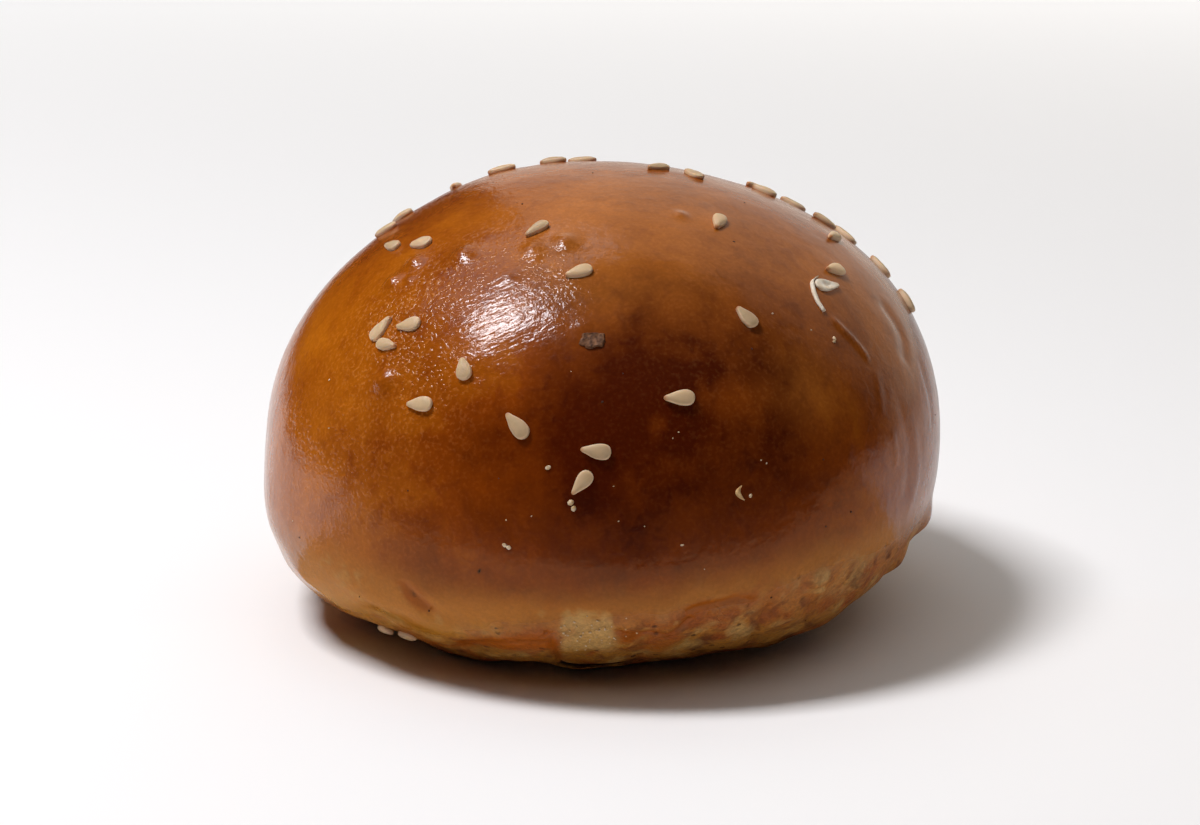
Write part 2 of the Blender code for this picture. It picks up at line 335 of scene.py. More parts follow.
# Where the glaze dried wrinkled: around, rise, breadth and share; a little of it is everywhere
WRINKLED_PLACES = (
    (-34, 38, 6.5 * MM, 0.75),
    (-24, 45.5, 6.5 * MM, 0.75),
    (-44.5, 55, 2.0 * MM, 0.3),
    (-24.5, 59.5, 1.8 * MM, 0.6),
    (-15.5, 62, 1.8 * MM, 0.5),
    (-27, 52.5, 2.4 * MM, 0.8),
    (-58, 47, 3.0 * MM, 0.9),
    (-43, 27.5, 2.2 * MM, 0.9),
    (-150, 40, 16 * MM, 0.6),
)
WRINKLED_EVERYWHERE = 0.06

# Where it dried in beads, which also are everywhere a little, and how much of them the wrinkles take away
# The beads' golden tops are painted glints
BEADED_PLACES = (
    (-47, 41, 8 * MM, 1.0),
    (-28, 54, 7 * MM, 0.8),
    (-36, 31, 8 * MM, 0.6),
    (-18, 50, 5 * MM, 0.4),
    (-48, 12, 14 * MM, 0.22),
    (24, 30, 12 * MM, 0.10),
    (-150, 40, 22 * MM, 0.8),
    (150, 30, 20 * MM, 0.5),
)
BEADED_EVERYWHERE = 0.05
BEADS_LOST = 0.8

# Facets of the crust: how many round it, up it and under it, how much closer they lie at the front and on
# the skirt, the rise of the last ring below the crown, and the steps in which their spacing is measured
ROUND_STEPS = 460
RINGS = 186
UNDER_RINGS = 23
FRONT_CROWDING = 0.3
SKIRT_CROWDING = 1.4
MARGIN_RISE = 89.6
MEASURING_STEPS = 1500

# The torn pale places lie a little lower and are rough
TORN_DEPTH = 0.15 * MM
TORN_LUMP_SIZE = 0.8 * MM
TORN_LUMP_HEIGHT = 0.12 * MM

# Dimples of the underside and finer ones in them, and how much of its finish shows right at the foot's edge
DIMPLE_SIZE = 3.2 * MM
DIMPLE_HEIGHT = 0.35 * MM
FINE_DIMPLE_SIZE = DIMPLE_SIZE / 3
FINE_DIMPLE_SHARE = 0.4
UNDERSIDE_AT_EDGE = 0.4

# Draws of the fine relief and of the seeds' dents
RELIEF_DRAW = 3.0
SEED_DENT_DRAW = 1.0

# The camera of the picture, and the way from the bun to it
CAMERA_AIM = Vector((-0.2, 0, 24.3)) * MM
CAMERA_DISTANCE = 400 * MM
CAMERA_ELEVATION = math.radians(16)
CAMERA_LENS = 94.2
SENSOR_WIDTH = 36
NEAREST_SEEN = 0.01
TO_CAMERA = np.array((0, -math.cos(CAMERA_ELEVATION), math.sin(CAMERA_ELEVATION)))

# How far the middle of a sesame seed stands out of the crust
SEED_LIFT = 0.3 * MM

# Half-width of a seed from its round end to its tip
SEED_PROFILE = (
    (-1, 0), (-0.97, 0.34), (-0.87, 0.68), (-0.7, 0.90), (-0.45, 1.0), (-0.15, 0.98),
    (0.15, 0.84), (0.5, 0.57), (0.7, 0.42), (0.87, 0.31), (0.97, 0.19), (1, 0),
)

# Its corners, the rings of each face from the edge in, and how round its faces are, where 0.5 is a ball
SEED_SIDES = 24
SEED_LEVELS = (0.99, 0.94, 0.86, 0.74, 0.56, 0.3)
SEED_BLUNTNESS = 0.3

# The groove inside its margin: where it runs, its breadth and its depth
SEED_MARGIN = 0.84
SEED_GROOVE_BREADTH = 0.06
SEED_GROOVE = 0.07

# The pale margin: how far out it is full and how much of it shows. The dark tip: where it starts and how
# much of it shows
PALE_MARGIN_FULL = 0.94
PALE_MARGIN_SHARE = 0.8
DARK_TIP_START = 0.72
DARK_TIP_SHARE = 0.85

# Soft dents that make each seed its own
SEED_DENT_SIZE = 1.8 * MM
SEED_DENT_DEPTH = 0.22 * MM

# The smallest seed, how much larger others are, and the golden share that spreads sizes and tones evenly
SEED_SMALLEST = 0.93
SEED_VARIETY = 0.14
GOLDEN = 0.618034

# Seeds on the near side: around, rise, the way the tip points, breadth and length against those of the
# sizes, and how pale it is
NEAR_SEEDS = (
    (-50, 36.5, 75, 1.15, 1.1, 0.5),
    (-46, 34, 6, 0.8, 0.88, 0.27),
    (-43.5, 38.5, -155, 1.0, 1.0, 0.38),
    (-27, 32.5, 113, 1.0, 0.78, 0.28),
    (-33.5, 25, -169, 1.0, 1.0, 0.37),
    (-75, 51, -157, 0.9, 1.0, 0.12),
    (-64, 54.5, -145, 1.02, 0.88, 0.41),
    (-96, 50, -105, 1.0, 1.0, 0.34),
    (-108, 51, -112, 1.0, 1.0, 0.32),
    (-28, 64.5, -111, 0.9, 1.0, 0.05),
    (-8.5, 54, -153, 1.0, 1.0, 0.45),
    (-165, 71, -15, 1.0, 1.0, 0.05),
    (-146, 73, -27, 1.0, 1.0, 0.0),
    (121, 82, 98, 1.0, 1.0, 0.0),
    (104, 77, 20, 0.9, 1.0, 0.01),
    (-123, 58, 30, 0.9, 1.0, 0.41),
    (-128, 67, -40, 1.0, 1.0, 0.36),
    (122, 61, 106, 0.9, 1.0, 0.35),
    (112, 62, 55, 1.0, 1.0, 0.34),
    (116, 54, 64, 1.0, 1.0, 0.0),
    (42.5, 65, -142, 1.0, 1.0, 0.32),
    (29.5, 42.5, 116, 0.92, 0.85, 0.0),
    (103, 51, 90, 1.0, 1.0, 0.3),
    (85, 51, 162, 0.9, 1.0, 0.37),
    (106, 45, 56, 1.0, 1.0, 0.39),
    (65.5, 47, 161, 1.0, 1.0, 0.8),
    (57.5, 45, 156, 0.8, 1.0, 0.23),
    (101, 37, 63, 1.0, 1.0, 0.27),
    (93, 31, 70, 1.0, 1.0, 0.18),
    (-15, 23.5, 136, 1.0, 1.0, 0.06),
    (-1.5, 19.5, 174, 1.0, 1.0, 0.1),
    (-3.5, 14, -129, 1.0, 1.0, 0.32),
    (12.5, 28.5, 178, 1.0, 1.0, 0.44),
    (-49.3, -40, -165, 0.9, 1.0, 0.38),
    (-41.7, -39, -172, 0.9, 1.0, 0.2),
)

# Which of them broke, counted from 0
BROKEN_SEED = 26

# Seeds strewn over the far side and the crown: how many, their draw, the lowest rise, how far apart, how
# squarely their places face away from the camera, and the palest tone
FAR_SEEDS = 30
FAR_SEEDS_DRAW = 12
FAR_SEEDS_LOWEST = 14
SEED_SPACING = 4.2 * MM
FAR_SIDE = -0.16
FAR_SEED_TONES = 0.5

# The broken seed's open hull: how much larger it is than a whole seed, how far it turned round, how high
# its rim stands, and how deep and how steep its hollow is
HULL_STRETCH = 1.2
HULL_TURN = -172
HULL_RIM = 0.45
HULL_HOLLOW = 0.75
HULL_STEEPNESS = 1.5

# The sliver of husk that came off it: places along it, its rings, radius, how much it thins, how flat it
# is, and how far its middle stands out
HUSK_PLACES = ((56.2, 47.2), (53.6, 46.9), (51.5, 44.8), (50.5, 42.7), (50.5, 40.5))
HUSK_RINGS = 16
HUSK_RADIUS = 0.46 * MM
HUSK_THINNING = 0.4
HUSK_FLATNESS = 0.7
HUSK_LIFT = 0.4 * HUSK_RADIUS

# Corners of the sliver and of the curled shred
TUBE_SIDES = 8

# The burnt flake: where it lies, how far it stands out, its size, how narrow and square it is, its corners
FLAKE_PLACE = (-3.3, 39.8)
FLAKE_LIFT = 0.1 * MM
FLAKE_RADIUS = 1.45 * MM
FLAKE_THICKNESS = 0.5 * MM
FLAKE_NARROWING = 0.74
FLAKE_SQUARENESS = 3.8
FLAKE_CORNERS = 32

# Its rings from the edge in, as reach and height, and the height of its middle
FLAKE_LEVELS = ((1.0, -1.0), (1.0, 0.0), (0.96, 0.55), (0.86, 0.9), (0.7, 0.75), (0.5, 0.62), (0.25, 0.7))
FLAKE_MIDDLE = 0.3 * FLAKE_THICKNESS

# How ragged its edge and how bumpy its face is: share, width of lumps, and where in the noise they lie
FLAKE_RAGS = (0.38, 0.5, (3, 0, 0))
FLAKE_BUMPS = (0.6, 0.3, (0, 5, 0))

# Crumbs that lie on the glaze: around, rise, heading, then length, breadth and thickness
CRUMBS = (
    (-5, 10.6, 30, 0.75 * MM, 0.65 * MM, 0.5 * MM),
    (-4.5, 9.6, 80, 0.7 * MM, 0.6 * MM, 0.5 * MM),
    (-9, 16.5, 20, 0.75 * MM, 0.5 * MM, 0.25 * MM),
    (-15, 2.7, -25, 0.6 * MM, 0.45 * MM, 0.25 * MM),
    (-14.3, 2.4, -20, 0.6 * MM, 0.5 * MM, 0.25 * MM),
    (49, 35, 80, 0.55 * MM, 0.4 * MM, 0.4 * MM),
    (48.6, 34.5, 0, 0.5 * MM, 0.3 * MM, 0.25 * MM),
    (36.5, 42.5, 0, 0.22 * MM, 0.18 * MM, 0.14 * MM),
    (23.7, 10.2, 60, 0.5 * MM, 0.35 * MM, 0.3 * MM),
    (12, 22.5, 10, 0.20 * MM, 0.16 * MM, 0.14 * MM),
    (11, 21.5, 60, 0.17 * MM, 0.14 * MM, 0.12 * MM),
    (27, 15.5, 40, 0.18 * MM, 0.14 * MM, 0.12 * MM),
    (26, 16.2, 80, 0.16 * MM, 0.13 * MM, 0.12 * MM),
    (1.5, 13.5, 0, 0.18 * MM, 0.14 * MM, 0.12 * MM),
    (2.5, 7.5, 30, 0.18 * MM, 0.14 * MM, 0.12 * MM),
    (-11, 8, 60, 0.17 * MM, 0.14 * MM, 0.12 * MM),
    (-15, 7, 45, 0.22 * MM, 0.16 * MM, 0.12 * MM),
    (6.5, 6.5, 45, 0.17 * MM, 0.14 * MM, 0.12 * MM),
    (12.5, 3, 0, 0.45 * MM, 0.25 * MM, 0.15 * MM),
)

# How much of a crumb's thickness its middle stands out
CRUMB_LIFT = 0.3

# The curled shred of crumb: places along it, its rings, radius at its middle, how flat it is, how far its
# middle stands out, and how many steps its ends stop short of a point
CURL_PLACES = ((22.2, 12.2), (21.6, 11.6), (21.5, 10.9), (22.0, 10.1), (22.6, 9.6))
CURL_RINGS = 14
CURL_RADIUS = 0.34 * MM
CURL_FLATNESS = 0.6
CURL_LIFT = 0.15 * MM
CURL_BLUNTNESS = 1.2

# Dust strewn over the crust: how many specks, their draw and their sizes, and the lowest rise they lie at
DUST = {"pale": (34, 5, 0.10 * MM, 0.19 * MM), "scorched": (44, 8, 0.13 * MM, 0.26 * MM)}
DUST_LOWEST = -30

# How much longer than broad a speck of dust may be, how thick it is, and how much of it stands out
DUST_STRETCH = (1.0, 1.6)
DUST_FLATNESS = 0.6
DUST_LIFT = 0.2

# Grains that stuck to the pale patch: around, rise, their spread in degrees, how many and their draw
PATCH_GRAINS = (-1.5, -23, 5.0, 8.0, 46, 11)

# Their half-breadths in millimetres, and their length and thickness against their breadth
GRAIN_HALVES = (0.07, 0.13)
GRAIN_STRETCH = 1.3
GRAIN_FLATNESS = 0.7

# Soft dents of crumbs, grains and dust
CRUMB_LUMP_SIZE = 0.35 * MM
CRUMB_LUMP_HEIGHT = 0.22 * MM

# Directions are probed over this step, in degrees
PROBE = 0.5

# Noises over the crust: width of their lumps, how many finer layers they have, and how much they are bent.
# Pinhead beads and grit are about half as wide on a real bun, and are drawn as coarse as they need to show
CRUST_NOISES = {
    "mottle": (7.0 * MM, 2.0, 0.5),
    "freckle": (1.6 * MM, 1.0, 0.5),
    "grit": (0.45 * MM, 1.0, 0.5),
    "sand": (2.4 * MM, 4.0, 0.5),
    "drift": (4.6 * MM, 3.0, 0.5),
    "bead": (0.45 * MM, 1.0, 0.0),
}

# Drying wrinkles of the glaze: how far they slant, their length, breadth and height, and how they bend
WRINKLE_SLANT = math.radians(-30)
WRINKLE_SIZE = (1.9 * MM, 0.55 * MM, 0.7 * MM)
WRINKLE_BEND = 0.6

# Cracks of the skirt run along the walls of cells this wide, bent by lumps of this size and depth, and its
# pits lie this far apart
CRACK_SPACING = 9.0 * MM
CRACK_BEND_SIZE = 2.0 * MM
CRACK_BEND = 2.4 * MM
PIT_SPACING = 3.0 * MM

# What is cut out of the noises: its name, what it is cut out of, where along that it sets in and where it
# is full, and the marks and patterns that it keeps to
CUT_PATTERNS = (
    ("beads", "bead", 0.46, 0.76, ("beaded", "glossy")),
    ("blotches", "freckle", 0.50, 0.78, ()),
    ("torn", "mottle", 0.54, 0.64, ("rough",)),
    ("cracks", "wall", 0.035, 0.0, ("torn",)),
    ("pits", "cell", 0.14, 0.05, ("rough",)),
)

# How much each pattern browns the glaze, and what they add on the average, which is taken off again
# The beads' share lightens their tops, as painted glints
BROWNING_PATTERNS = (("mottle", 0.6), ("freckle", 0.12), ("grit", 0.05), ("blotches", 0.07), ("beads", -0.15))
BROWNING_MEAN = 0.42

# Tones of the glaze as it browns, bright and dull, the dull ones greyer as a partly painted sheen; how dull
# it gets at most, and how golden the painted glints on its beads are
GLAZE_TONES = (("glaze_light", "glaze_mid", "glaze_dark"), ("dull_sheen_light", "dull_sheen_dark"))
MOST_DULL_AND_SHEEN = 0.85
PAINTED_GLINT_GOLD = 0.22

# How high up the skirt turns olive and is all olive, and how far that line wanders
OLIVE_START = 14 * MM
OLIVE_FULL = 8 * MM
OLIVE_WANDER = 6 * MM

# Drifts and lumps of the skirt: pattern, where it sets in and is full, how much of it covers, its colour
SKIRT_PATCHES = (
    ("drift", 0.52, 0.64, 0.9, "skirt_brown"),
    ("drift", 0.46, 0.36, 0.7, "crumb"),
    ("mottle", 0.50, 0.60, 0.8, "rust"),
    ("sand", 0.54, 0.66, 0.6, "skirt_brown"),
)

# What lies over the glaze: its mark, the noise that frays its edge and by how much, where it sets in, where
# it is full, how much of it covers, and its colour
CRUST_LAYERS = (
    ("skirt", "freckle", 0.12, 0.1, 1.06, 1.0, "skirt"),
    ("under", "sand", 0.5, 0.5, 1.0, 1.0, "base"),
    ("pale", "freckle", 0.8, 0.6, 1.3, 0.85, "crumb"),
    ("rust", "freckle", 0.6, 0.4, 1.2, 0.9, "rust"),
    ("scorch", "grit", 0.4, 0.4, 0.95, 1.0, "scorch"),
)

# How strongly cracks are stained and pits painted dark, and with what
HOLLOW_COLOURS = (("cracks", 0.7, "rust"), ("pits", 0.75, "scorch"))

# Speckles: where along the grit they are darkest and palest, those tones, and how much shows on the glaze
SPECKLE_EDGE = (0.3, 0.7)
SPECKLE_TONES = (0.78, 1.22)
GLAZE_SPECKLES = 0.4

# Egg wash baked hard is as smooth as varnish, with satin freckles and beads; the bare skirt is matt
GLAZE_ROUGHNESS = 0.10
FRECKLE_ROUGHNESS = 0.12
BEAD_ROUGHNESS = 0.12
SKIRT_ROUGHNESS = 0.65
GLAZE_IOR = 1.5

# Fine relief of the crust: pattern, what it keeps to, and its height in millimetres
CRUST_BUMPS = (
    ("wrinkles", ("glossy", "wrinkled"), 0.10),
    ("beads", (), 0.085),
    ("freckle", ("glossy",), 0.05),
    ("grit", ("rough",), 0.09),
    ("sand", ("rough",), 0.55),
    ("cracks", (), -0.14),
    ("pits", (), -0.20),
)

# Hulled sesame: width of its mottling and pores, depth of its pores, and how much the mottling adds to its
# tone. The pores are about half as wide on a real seed, and are drawn as coarse as they need to show
MOTTLE_SIZE = 0.9 * MM
PORE_SIZE = 0.22 * MM
PORE_DEPTH = 0.02 * MM
MOTTLE_SHARE = 0.5

# Its darkest and palest tone against its colour, how rough it is and how much rougher where it is mottled
SEED_TONES = (0.72, 1.50)
SEED_ROUGHNESS = 0.38
MOTTLE_ROUGHNESS = 0.2

# How light bends and spreads in its oily flesh, red furthest
SEED_IOR = 1.47
SEED_GLOW = 0.25
SEED_GLOW_RADII = (1.0, 0.6, 0.3)
SEED_GLOW_DEPTH = 0.5 * MM

# Finishes of the dry bits: light and dark tone, width of the grains, roughness and depth of the relief
DRY_FINISHES = {
    # Papery hull, satin and nearly smooth
    "dry sesame husk": ("husk_light", "husk_dark", 0.8 * MM, 0.42, 0.03 * MM),
    # Charred glaze, matt and deeply pitted
    "burnt flake": ("flake_light", "flake", 0.5 * MM, 0.7, 0.14 * MM),
    # Dried white crumb, chalky
    "dry crumb": ("crumb_light", "crumb", 0.4 * MM, 0.8, 0.05 * MM),
    # Crumb burnt to coal, dull and dark
    "scorched crumb": ("scorch_light", "scorch", 0.3 * MM, 0.7, 0.03 * MM),
    # A thin shaving of crumb, toasted on its folds
    "curled shred": ("curl_light", "curl_dark", 0.5 * MM, 0.6, 0.04 * MM),
}

# Where along the noise of the grains the light tone ends and the dark one begins, and how far their
# roughness swings with it
GRAIN_EDGE = (0.3, 0.7)
GRAIN_ROUGHNESS = 0.3

# Softboxes and cards: centre, the way its back points, the way its long side runs, width, height, radiance,
# how wide its light fans out in degrees, colour, and whether the glaze mirrors it
LIGHTS = {
    "key softbox": (
        (-0.287, -0.049, 0.637), (-0.41, -0.07, 0.91), (0.39, 0.15, 0.18),
        0.20, 0.12, 29.0, 180, "#FAFAFF", True),
    "key fill": (
        (-0.287, -0.049, 0.637), (-0.41, -0.07, 0.91), (0.39, 0.15, 0.18),
        0.22, 0.14, 20.3, 180, "#FAFAFF", False),
    "rear window": (
        (-0.264, 0.32, 0.68), (-0.33, 0.4, 0.85), (0.78, 0.62, 0),
        0.5, 0.34, 0.85, 180, "#FAFAFF", True),
    "back card": (
        (0.942, 0.368, 0.465), (0.188, 0.886, 0.423), (0.978, -0.208, 0),
        2.25, 1.03, 0.24, 130, "#FFF4E6", True),
    "overhead fill": (
        (0.12, -0.12, 1.2), (0.1, -0.1, 1.0), (1, 0, 0),
        1.6, 1.6, 0.45, 180, "#FFFFFF", False),
}

# The lights that fade towards one end and glow more near the floor: the x at which each is out and the x at
# which it is full, then how much stronger it is at the floor and the height at which that ends
FADING_LIGHTS = {"back card": (2.03, 0.7, 2.0, 0.42)}

# The floor's side, colour and roughness. It also glows, for the camera only, from one distance to full at
# another, so that it looks evenly lit
FLOOR_SIZE = 3.0
FLOOR_COLOUR = "#FAF9F7"
FLOOR_ROUGHNESS = 0.9
FLOOR_GLOW_START = 0.12
FLOOR_GLOW_FULL = 1.1

# Sheets on the floor that only the glaze mirrors: their corners, height above the floor and colour
MIRRORED_SHEETS = {
    "black_cloth": (
        ((-1.3, -0.02), (-0.25, -0.05), (-0.15, -0.085), (-0.08, -0.105), (-0.03, -0.1), (0.01, -0.09),
         (0.05, -0.09), (0.11, -0.085), (0.2, -0.1), (0.6, -0.08), (1.3, -0.02), (1.3, -1.4), (-1.3, -1.4)),
        0.4 * MM, "#0A0A0A"),
    "tan_card": (((0, 0), (-1.4, -0.3), (-1.4, -1.4), (1.4, -1.4), (1.4, -0.05)), 0.2 * MM, "#DCB68A"),
    "grey_card": (((0, 0), (1.4, -0.05), (1.4, 1.4), (-0.4, 1.4)), 0.15 * MM, "#E0DEDC"),
}

# The sheets that thin out sideways: the bearings from +X at which each is gone and at which it is whole
FADING_SHEETS = {"black_cloth": (-1, -28), "grey_card": (104, 60)}

# How strongly the white room shines on the bun; the camera sees it in full
ROOM_GLOW = 0.01

# Settings that many nodes share
SOFT_STEP = {"interpolation_type": "SMOOTHSTEP"}
MINUS = {"operation": "SUBTRACT"}
TIMES = {"operation": "MULTIPLY"}
TIMES_PLUS = {"operation": "MULTIPLY_ADD"}
MIX_COLOURS = {"data_type": "RGBA"}


def linear(hex_colour):
    """An sRGB hex colour as linear red, green, blue and an alpha of 1."""
    shares = [int(hex_colour[at:at + 2], 16) / 255 for at in (1, 3, 5)]
    return tuple(s / 12.92 if s <= 0.04045 else ((s + 0.055) / 1.055) ** 2.4 for s in shares) + (1,)


def colour_property(name, description, hex_colour):
    """A colour that a user may change."""
    return bpy.props.FloatVectorProperty(name=name, description=description, subtype="COLOR", size=4, min=0,
                                         max=1, default=linear(hex_colour))


def length_property(name, description, length):
    """A length that a user may change."""
    return bpy.props.FloatProperty(name=name, description=description, default=length, min=0, precision=5,
                                   unit="LENGTH")


class BunSizes(bpy.types.PropertyGroup):
    """Sizes of the bun and of what lies on it."""

    radius: length_property("Radius", "Reach of the even bun at its belly", 43.0 * MM)
    height: length_property("Height", "Height of the even bun's crown", 55.3 * MM)
    seed_length: length_property("Seed length", "Length of a sesame seed", 3.55 * MM)
    seed_width: length_property("Seed width", "Width of a sesame seed", 1.85 * MM)
    seed_thickness: length_property("Seed thickness", "Thickness of a sesame seed", 1.05 * MM)
    peel_size: length_property("Peel size", "Width of the soft pebbles of the glaze", 3.6 * MM)
    peel_height: length_property("Peel height", "Height of the soft pebbles of the glaze", 0.10 * MM)
    grain_size: length_property("Grain size", "Width of the rough grains of the skirt", 1.8 * MM)
    grain_height: length_property("Grain height", "Height of the rough grains of the skirt", 0.36 * MM)


class BunColours(bpy.types.PropertyGroup):
    """Colours of the crust and of what lies on it."""

    glaze_light: colour_property("Light glaze", "Egg wash where it baked least", "#B8640A")
    glaze_mid: colour_property("Middle glaze", "Egg wash over most of the dome", "#843803")
    glaze_dark: colour_property("Dark glaze", "Egg wash where it baked most", "#4B1501")
    # The dull tones are greyer, partly as a painted sheen
    dull_sheen_light: colour_property("Light dull glaze", "Egg wash that dried thin and dull, baked least",
                                "#BE6F28")
    dull_sheen_dark: colour_property("Dark dull glaze", "Egg wash that dried thin and dull, baked most", "#4A1D09")
    # Painted glint: the golden tone laid on the tops of the glaze's beads
    painted_bead_glint: colour_property("Glaze bead", "Thin tops of the beads that the egg wash dried in", "#E0A05A")
    skirt_tan: colour_property("Tan skirt", "The skirt where its glaze runs out", "#AE6A22")
    skirt_olive: colour_property("Olive skirt", "Unglazed crust near the tray", "#A66E20")
    skirt_brown: colour_property("Brown skirt", "Unglazed crust at its brownest", "#6E380C")
    crumb: colour_property("Torn crumb", "Crumb where the crust tore", "#C09654")
    rust: colour_property("Rusty stain", "Egg wash that ran into cracks", "#9C4D08")
    # Also the dark painted into the gap under the pale patch as its shadow, round the foot and into pits
    scorch: colour_property("Scorch", "Burnt edges and specks", "#2A1005")
    base: colour_property("Underside", "Crust baked on the tray", "#8A5628")
    seed: colour_property("Seed", "Hulled white sesame", "#CCAD86")
    seed_tip: colour_property("Seed tip", "The darker tip of a seed", "#B0703C")
    seed_margin: colour_property("Seed margin", "The pale rim of a seed", "#E4C49E")
    flake: colour_property("Flake", "The burnt flake", "#2C1206")
    flake_light: colour_property("Light flake", "The burnt flake where it is least burnt", "#8A5C3A")
    husk_light: colour_property("Light husk", "The husk and hull of the broken seed", "#F8EEDD")
    husk_dark: colour_property("Dark husk", "The husk and hull where they are stained", "#E4CBA8")
    crumb_light: colour_property("Light crumb", "Dry crumbs at their palest", "#EAD9BE")
    scorch_light: colour_property("Light scorch", "Scorched crumbs at their palest", "#4A2410")
    curl_light: colour_property("Light shred", "The curled shred of crumb", "#E9C58A")
    curl_dark: colour_property("Dark shred", "The curled shred where it is toasted", "#B98A52")


def even_bun(around, rise):
    """Points of the even bun, before its swells, lumps and crags."""
    sizes = bpy.context.scene.bun_sizes
    heading, rise = np.broadcast_arrays(np.radians(around), np.asarray(rise, float))
    climb = np.radians(np.abs(rise))
    power = np.where(rise >= 0, DOME_POWER, TUCK_POWER)
    depth = np.where(rise >= 0, sizes.height - BELLY_HEIGHT, -TUCK_DEPTH)
    reach = sizes.radius * np.maximum(np.cos(climb), 0) ** (2 / power)
    height = np.maximum(BELLY_HEIGHT + depth * np.sin(climb) ** (2 / power), 0)
    lean = LEAN * (height / sizes.height - LEAN_PIVOT)
    return np.stack((reach * np.sin(heading) + lean, -reach * np.cos(heading), height), -1)


def outward(around, rise):
    """The even bun's outward directions."""
    rise = np.minimum(rise, 90 - PROBE)
    along = even_bun(np.add(around, PROBE), rise) - even_bun(np.subtract(around, PROBE), rise)
    up = even_bun(around, rise + PROBE) - even_bun(around, rise - PROBE)
    normal = np.cross(along, up)
    return normal / np.linalg.norm(normal, axis=-1, keepdims=True)


def ramp(low, high, value):
    """0 below low, 1 above high, and a soft slope between."""
    share = np.clip((value - low) / (high - low), 0, 1)
    return share * share * (3 - 2 * share)


def noise_at(points, size):
    """Smooth noise between -1 and 1 at each point, in lumps about as wide as size."""
    spots = (points / size).reshape(-1, 3).tolist()
    return np.array([noise.noise(spot) for spot in spots]).reshape(points.shape[:-1])


def dabs_at(points, dabs, sharpness=2):
    """The sum of round dabs at each point: 1 times a dab's share at its middle, fading over its breadth."""
    total = np.zeros(points.shape[:-1])
    for around, rise, breadth, share in dabs:
        away = np.linalg.norm(points - even_bun(around, rise), axis=-1)
        total += share * np.exp(-((away / breadth) ** sharpness))
    return total


def stroke_at(points, places, breadth):
    """1 on a line through the places and 0 away from it, fading over its breadth."""
    nearest = np.full(points.shape[:-1], np.inf)
    for start, end in zip(places, places[1:]):
        start, end = even_bun(*start), even_bun(*end)
        along = end - start
        share = np.clip((points - start) @ along / (along @ along), 0, 1)
        nearest = np.minimum(nearest, np.linalg.norm(points - start - share[..., None] * along, axis=-1))
    return np.exp(-((nearest / breadth) ** 2))


def relief(points):
    """How far the crust stands out from the even bun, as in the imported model."""
    skirt = 1 - ramp(SKIRT_TOP - SKIRT_FADE, SKIRT_TOP, points[..., 2])
    height = LUMP_HEIGHT * noise_at(points, LUMP_SIZE) + skirt * CRAG_HEIGHT * noise_at(points, CRAG_SIZE)
    return height + dabs_at(points, SWELLS)


def foot(around):
    """How far the foot spreads outwards and how far its edge lifts off the tray."""
    heading = np.radians(around)
    wave = noise_at(np.stack((np.sin(heading), np.cos(heading), 0 * heading), -1), 1 / FOOT_WAVES)
    spread = FOOT_SPREAD * (1 + wave)
    lift = FOOT_LIFT * (1 - wave)
    for middle, breadth, lobe_spread, lobe_lift in FOOT_LOBES:
        away = (around - middle + 180) % 360 - 180
        share = np.exp(-((away / breadth) ** 2))
        spread = spread + lobe_spread * share
        lift = lift + lobe_lift * share
    return spread, np.maximum(lift, 0)


def crust_points(around, rise, detail=None):
    """Points of the crust, from the foot's edge at the lowest rise up, each raised by its detail."""
    around, rise = np.broadcast_arrays(np.asarray(around, float), np.asarray(rise, float))
    points = even_bun(around, rise)
    height = relief(points) + (0 if detail is None else detail)
    step = outward(around, rise) * height[..., None]
    step[..., 2] *= ramp(0, FOOT_HEIGHT, points[..., 2])
    spread, lift = foot(around)
    heading = np.radians(around)
    push = np.stack((np.sin(heading) * spread, -np.cos(heading) * spread, lift), -1)
    near_tray = np.exp(-((points[..., 2] / FOOT_HEIGHT) ** 2))
    return points + step + push * near_tray[..., None]


def standing_axes(around, rise, heading, lift):
    """On the crust: a place, the way a heading points, and outward."""
    normal = Vector(outward(around, rise))
    east = Vector((math.cos(math.radians(around)), math.sin(math.radians(around)), 0))
    north = normal.cross(east).normalized()
    east = north.cross(normal)
    forward = east * math.cos(math.radians(heading)) + north * math.sin(math.radians(heading))
    place = Vector(crust_points(around, rise)) + normal * lift
    return place, forward, normal


def standing_frame(around, rise, heading, lift):
    """The same as a matrix: X along the heading, Z out of the crust."""
    place, forward, normal = standing_axes(around, rise, heading, lift)
    turn = Matrix((forward, normal.cross(forward), normal)).transposed()
    return Matrix.LocRotScale(place, turn, None)


def far_seed_places():
    """Places strewn over the far side and the crown, each clear of its neighbours."""
    draw = random.Random(FAR_SEEDS_DRAW)
    lowest = math.sin(math.radians(FAR_SEEDS_LOWEST))
    taken = [even_bun(*seed[:2]) for seed in NEAR_SEEDS]
    places = []
    while len(places) < FAR_SEEDS:
        around = draw.uniform(-180, 180)
        rise = math.degrees(math.asin(draw.uniform(lowest, 1)))
        heading = draw.uniform(-180, 180)
        point = even_bun(around, rise)
        far = outward(around, rise) @ TO_CAMERA < FAR_SIDE
        if far and all(np.linalg.norm(point - other) > SEED_SPACING for other in taken):
            taken.append(point)
            tone = len(places) * GOLDEN % 1 * FAR_SEED_TONES
            places.append((around, rise, heading, 1.0, 1.0, tone))
    return places


def seed_places():
    """Every seed, those on the near side first: around, rise, heading, breadth, length and tone."""
    return list(NEAR_SEEDS) + far_seed_places()


def add(tree, kind, settings=None, inputs=None):
    """Add a node, set its settings, and link each named input or give it a value."""
    node = tree.nodes.new(kind)
    for name, value in (settings or {}).items():
        setattr(node, name, value)
    for name, value in (inputs or {}).items():
        if isinstance(value, bpy.types.NodeSocket):
            tree.links.new(value, node.inputs[name])
        else:
            node.inputs[name].default_value = value
    return node


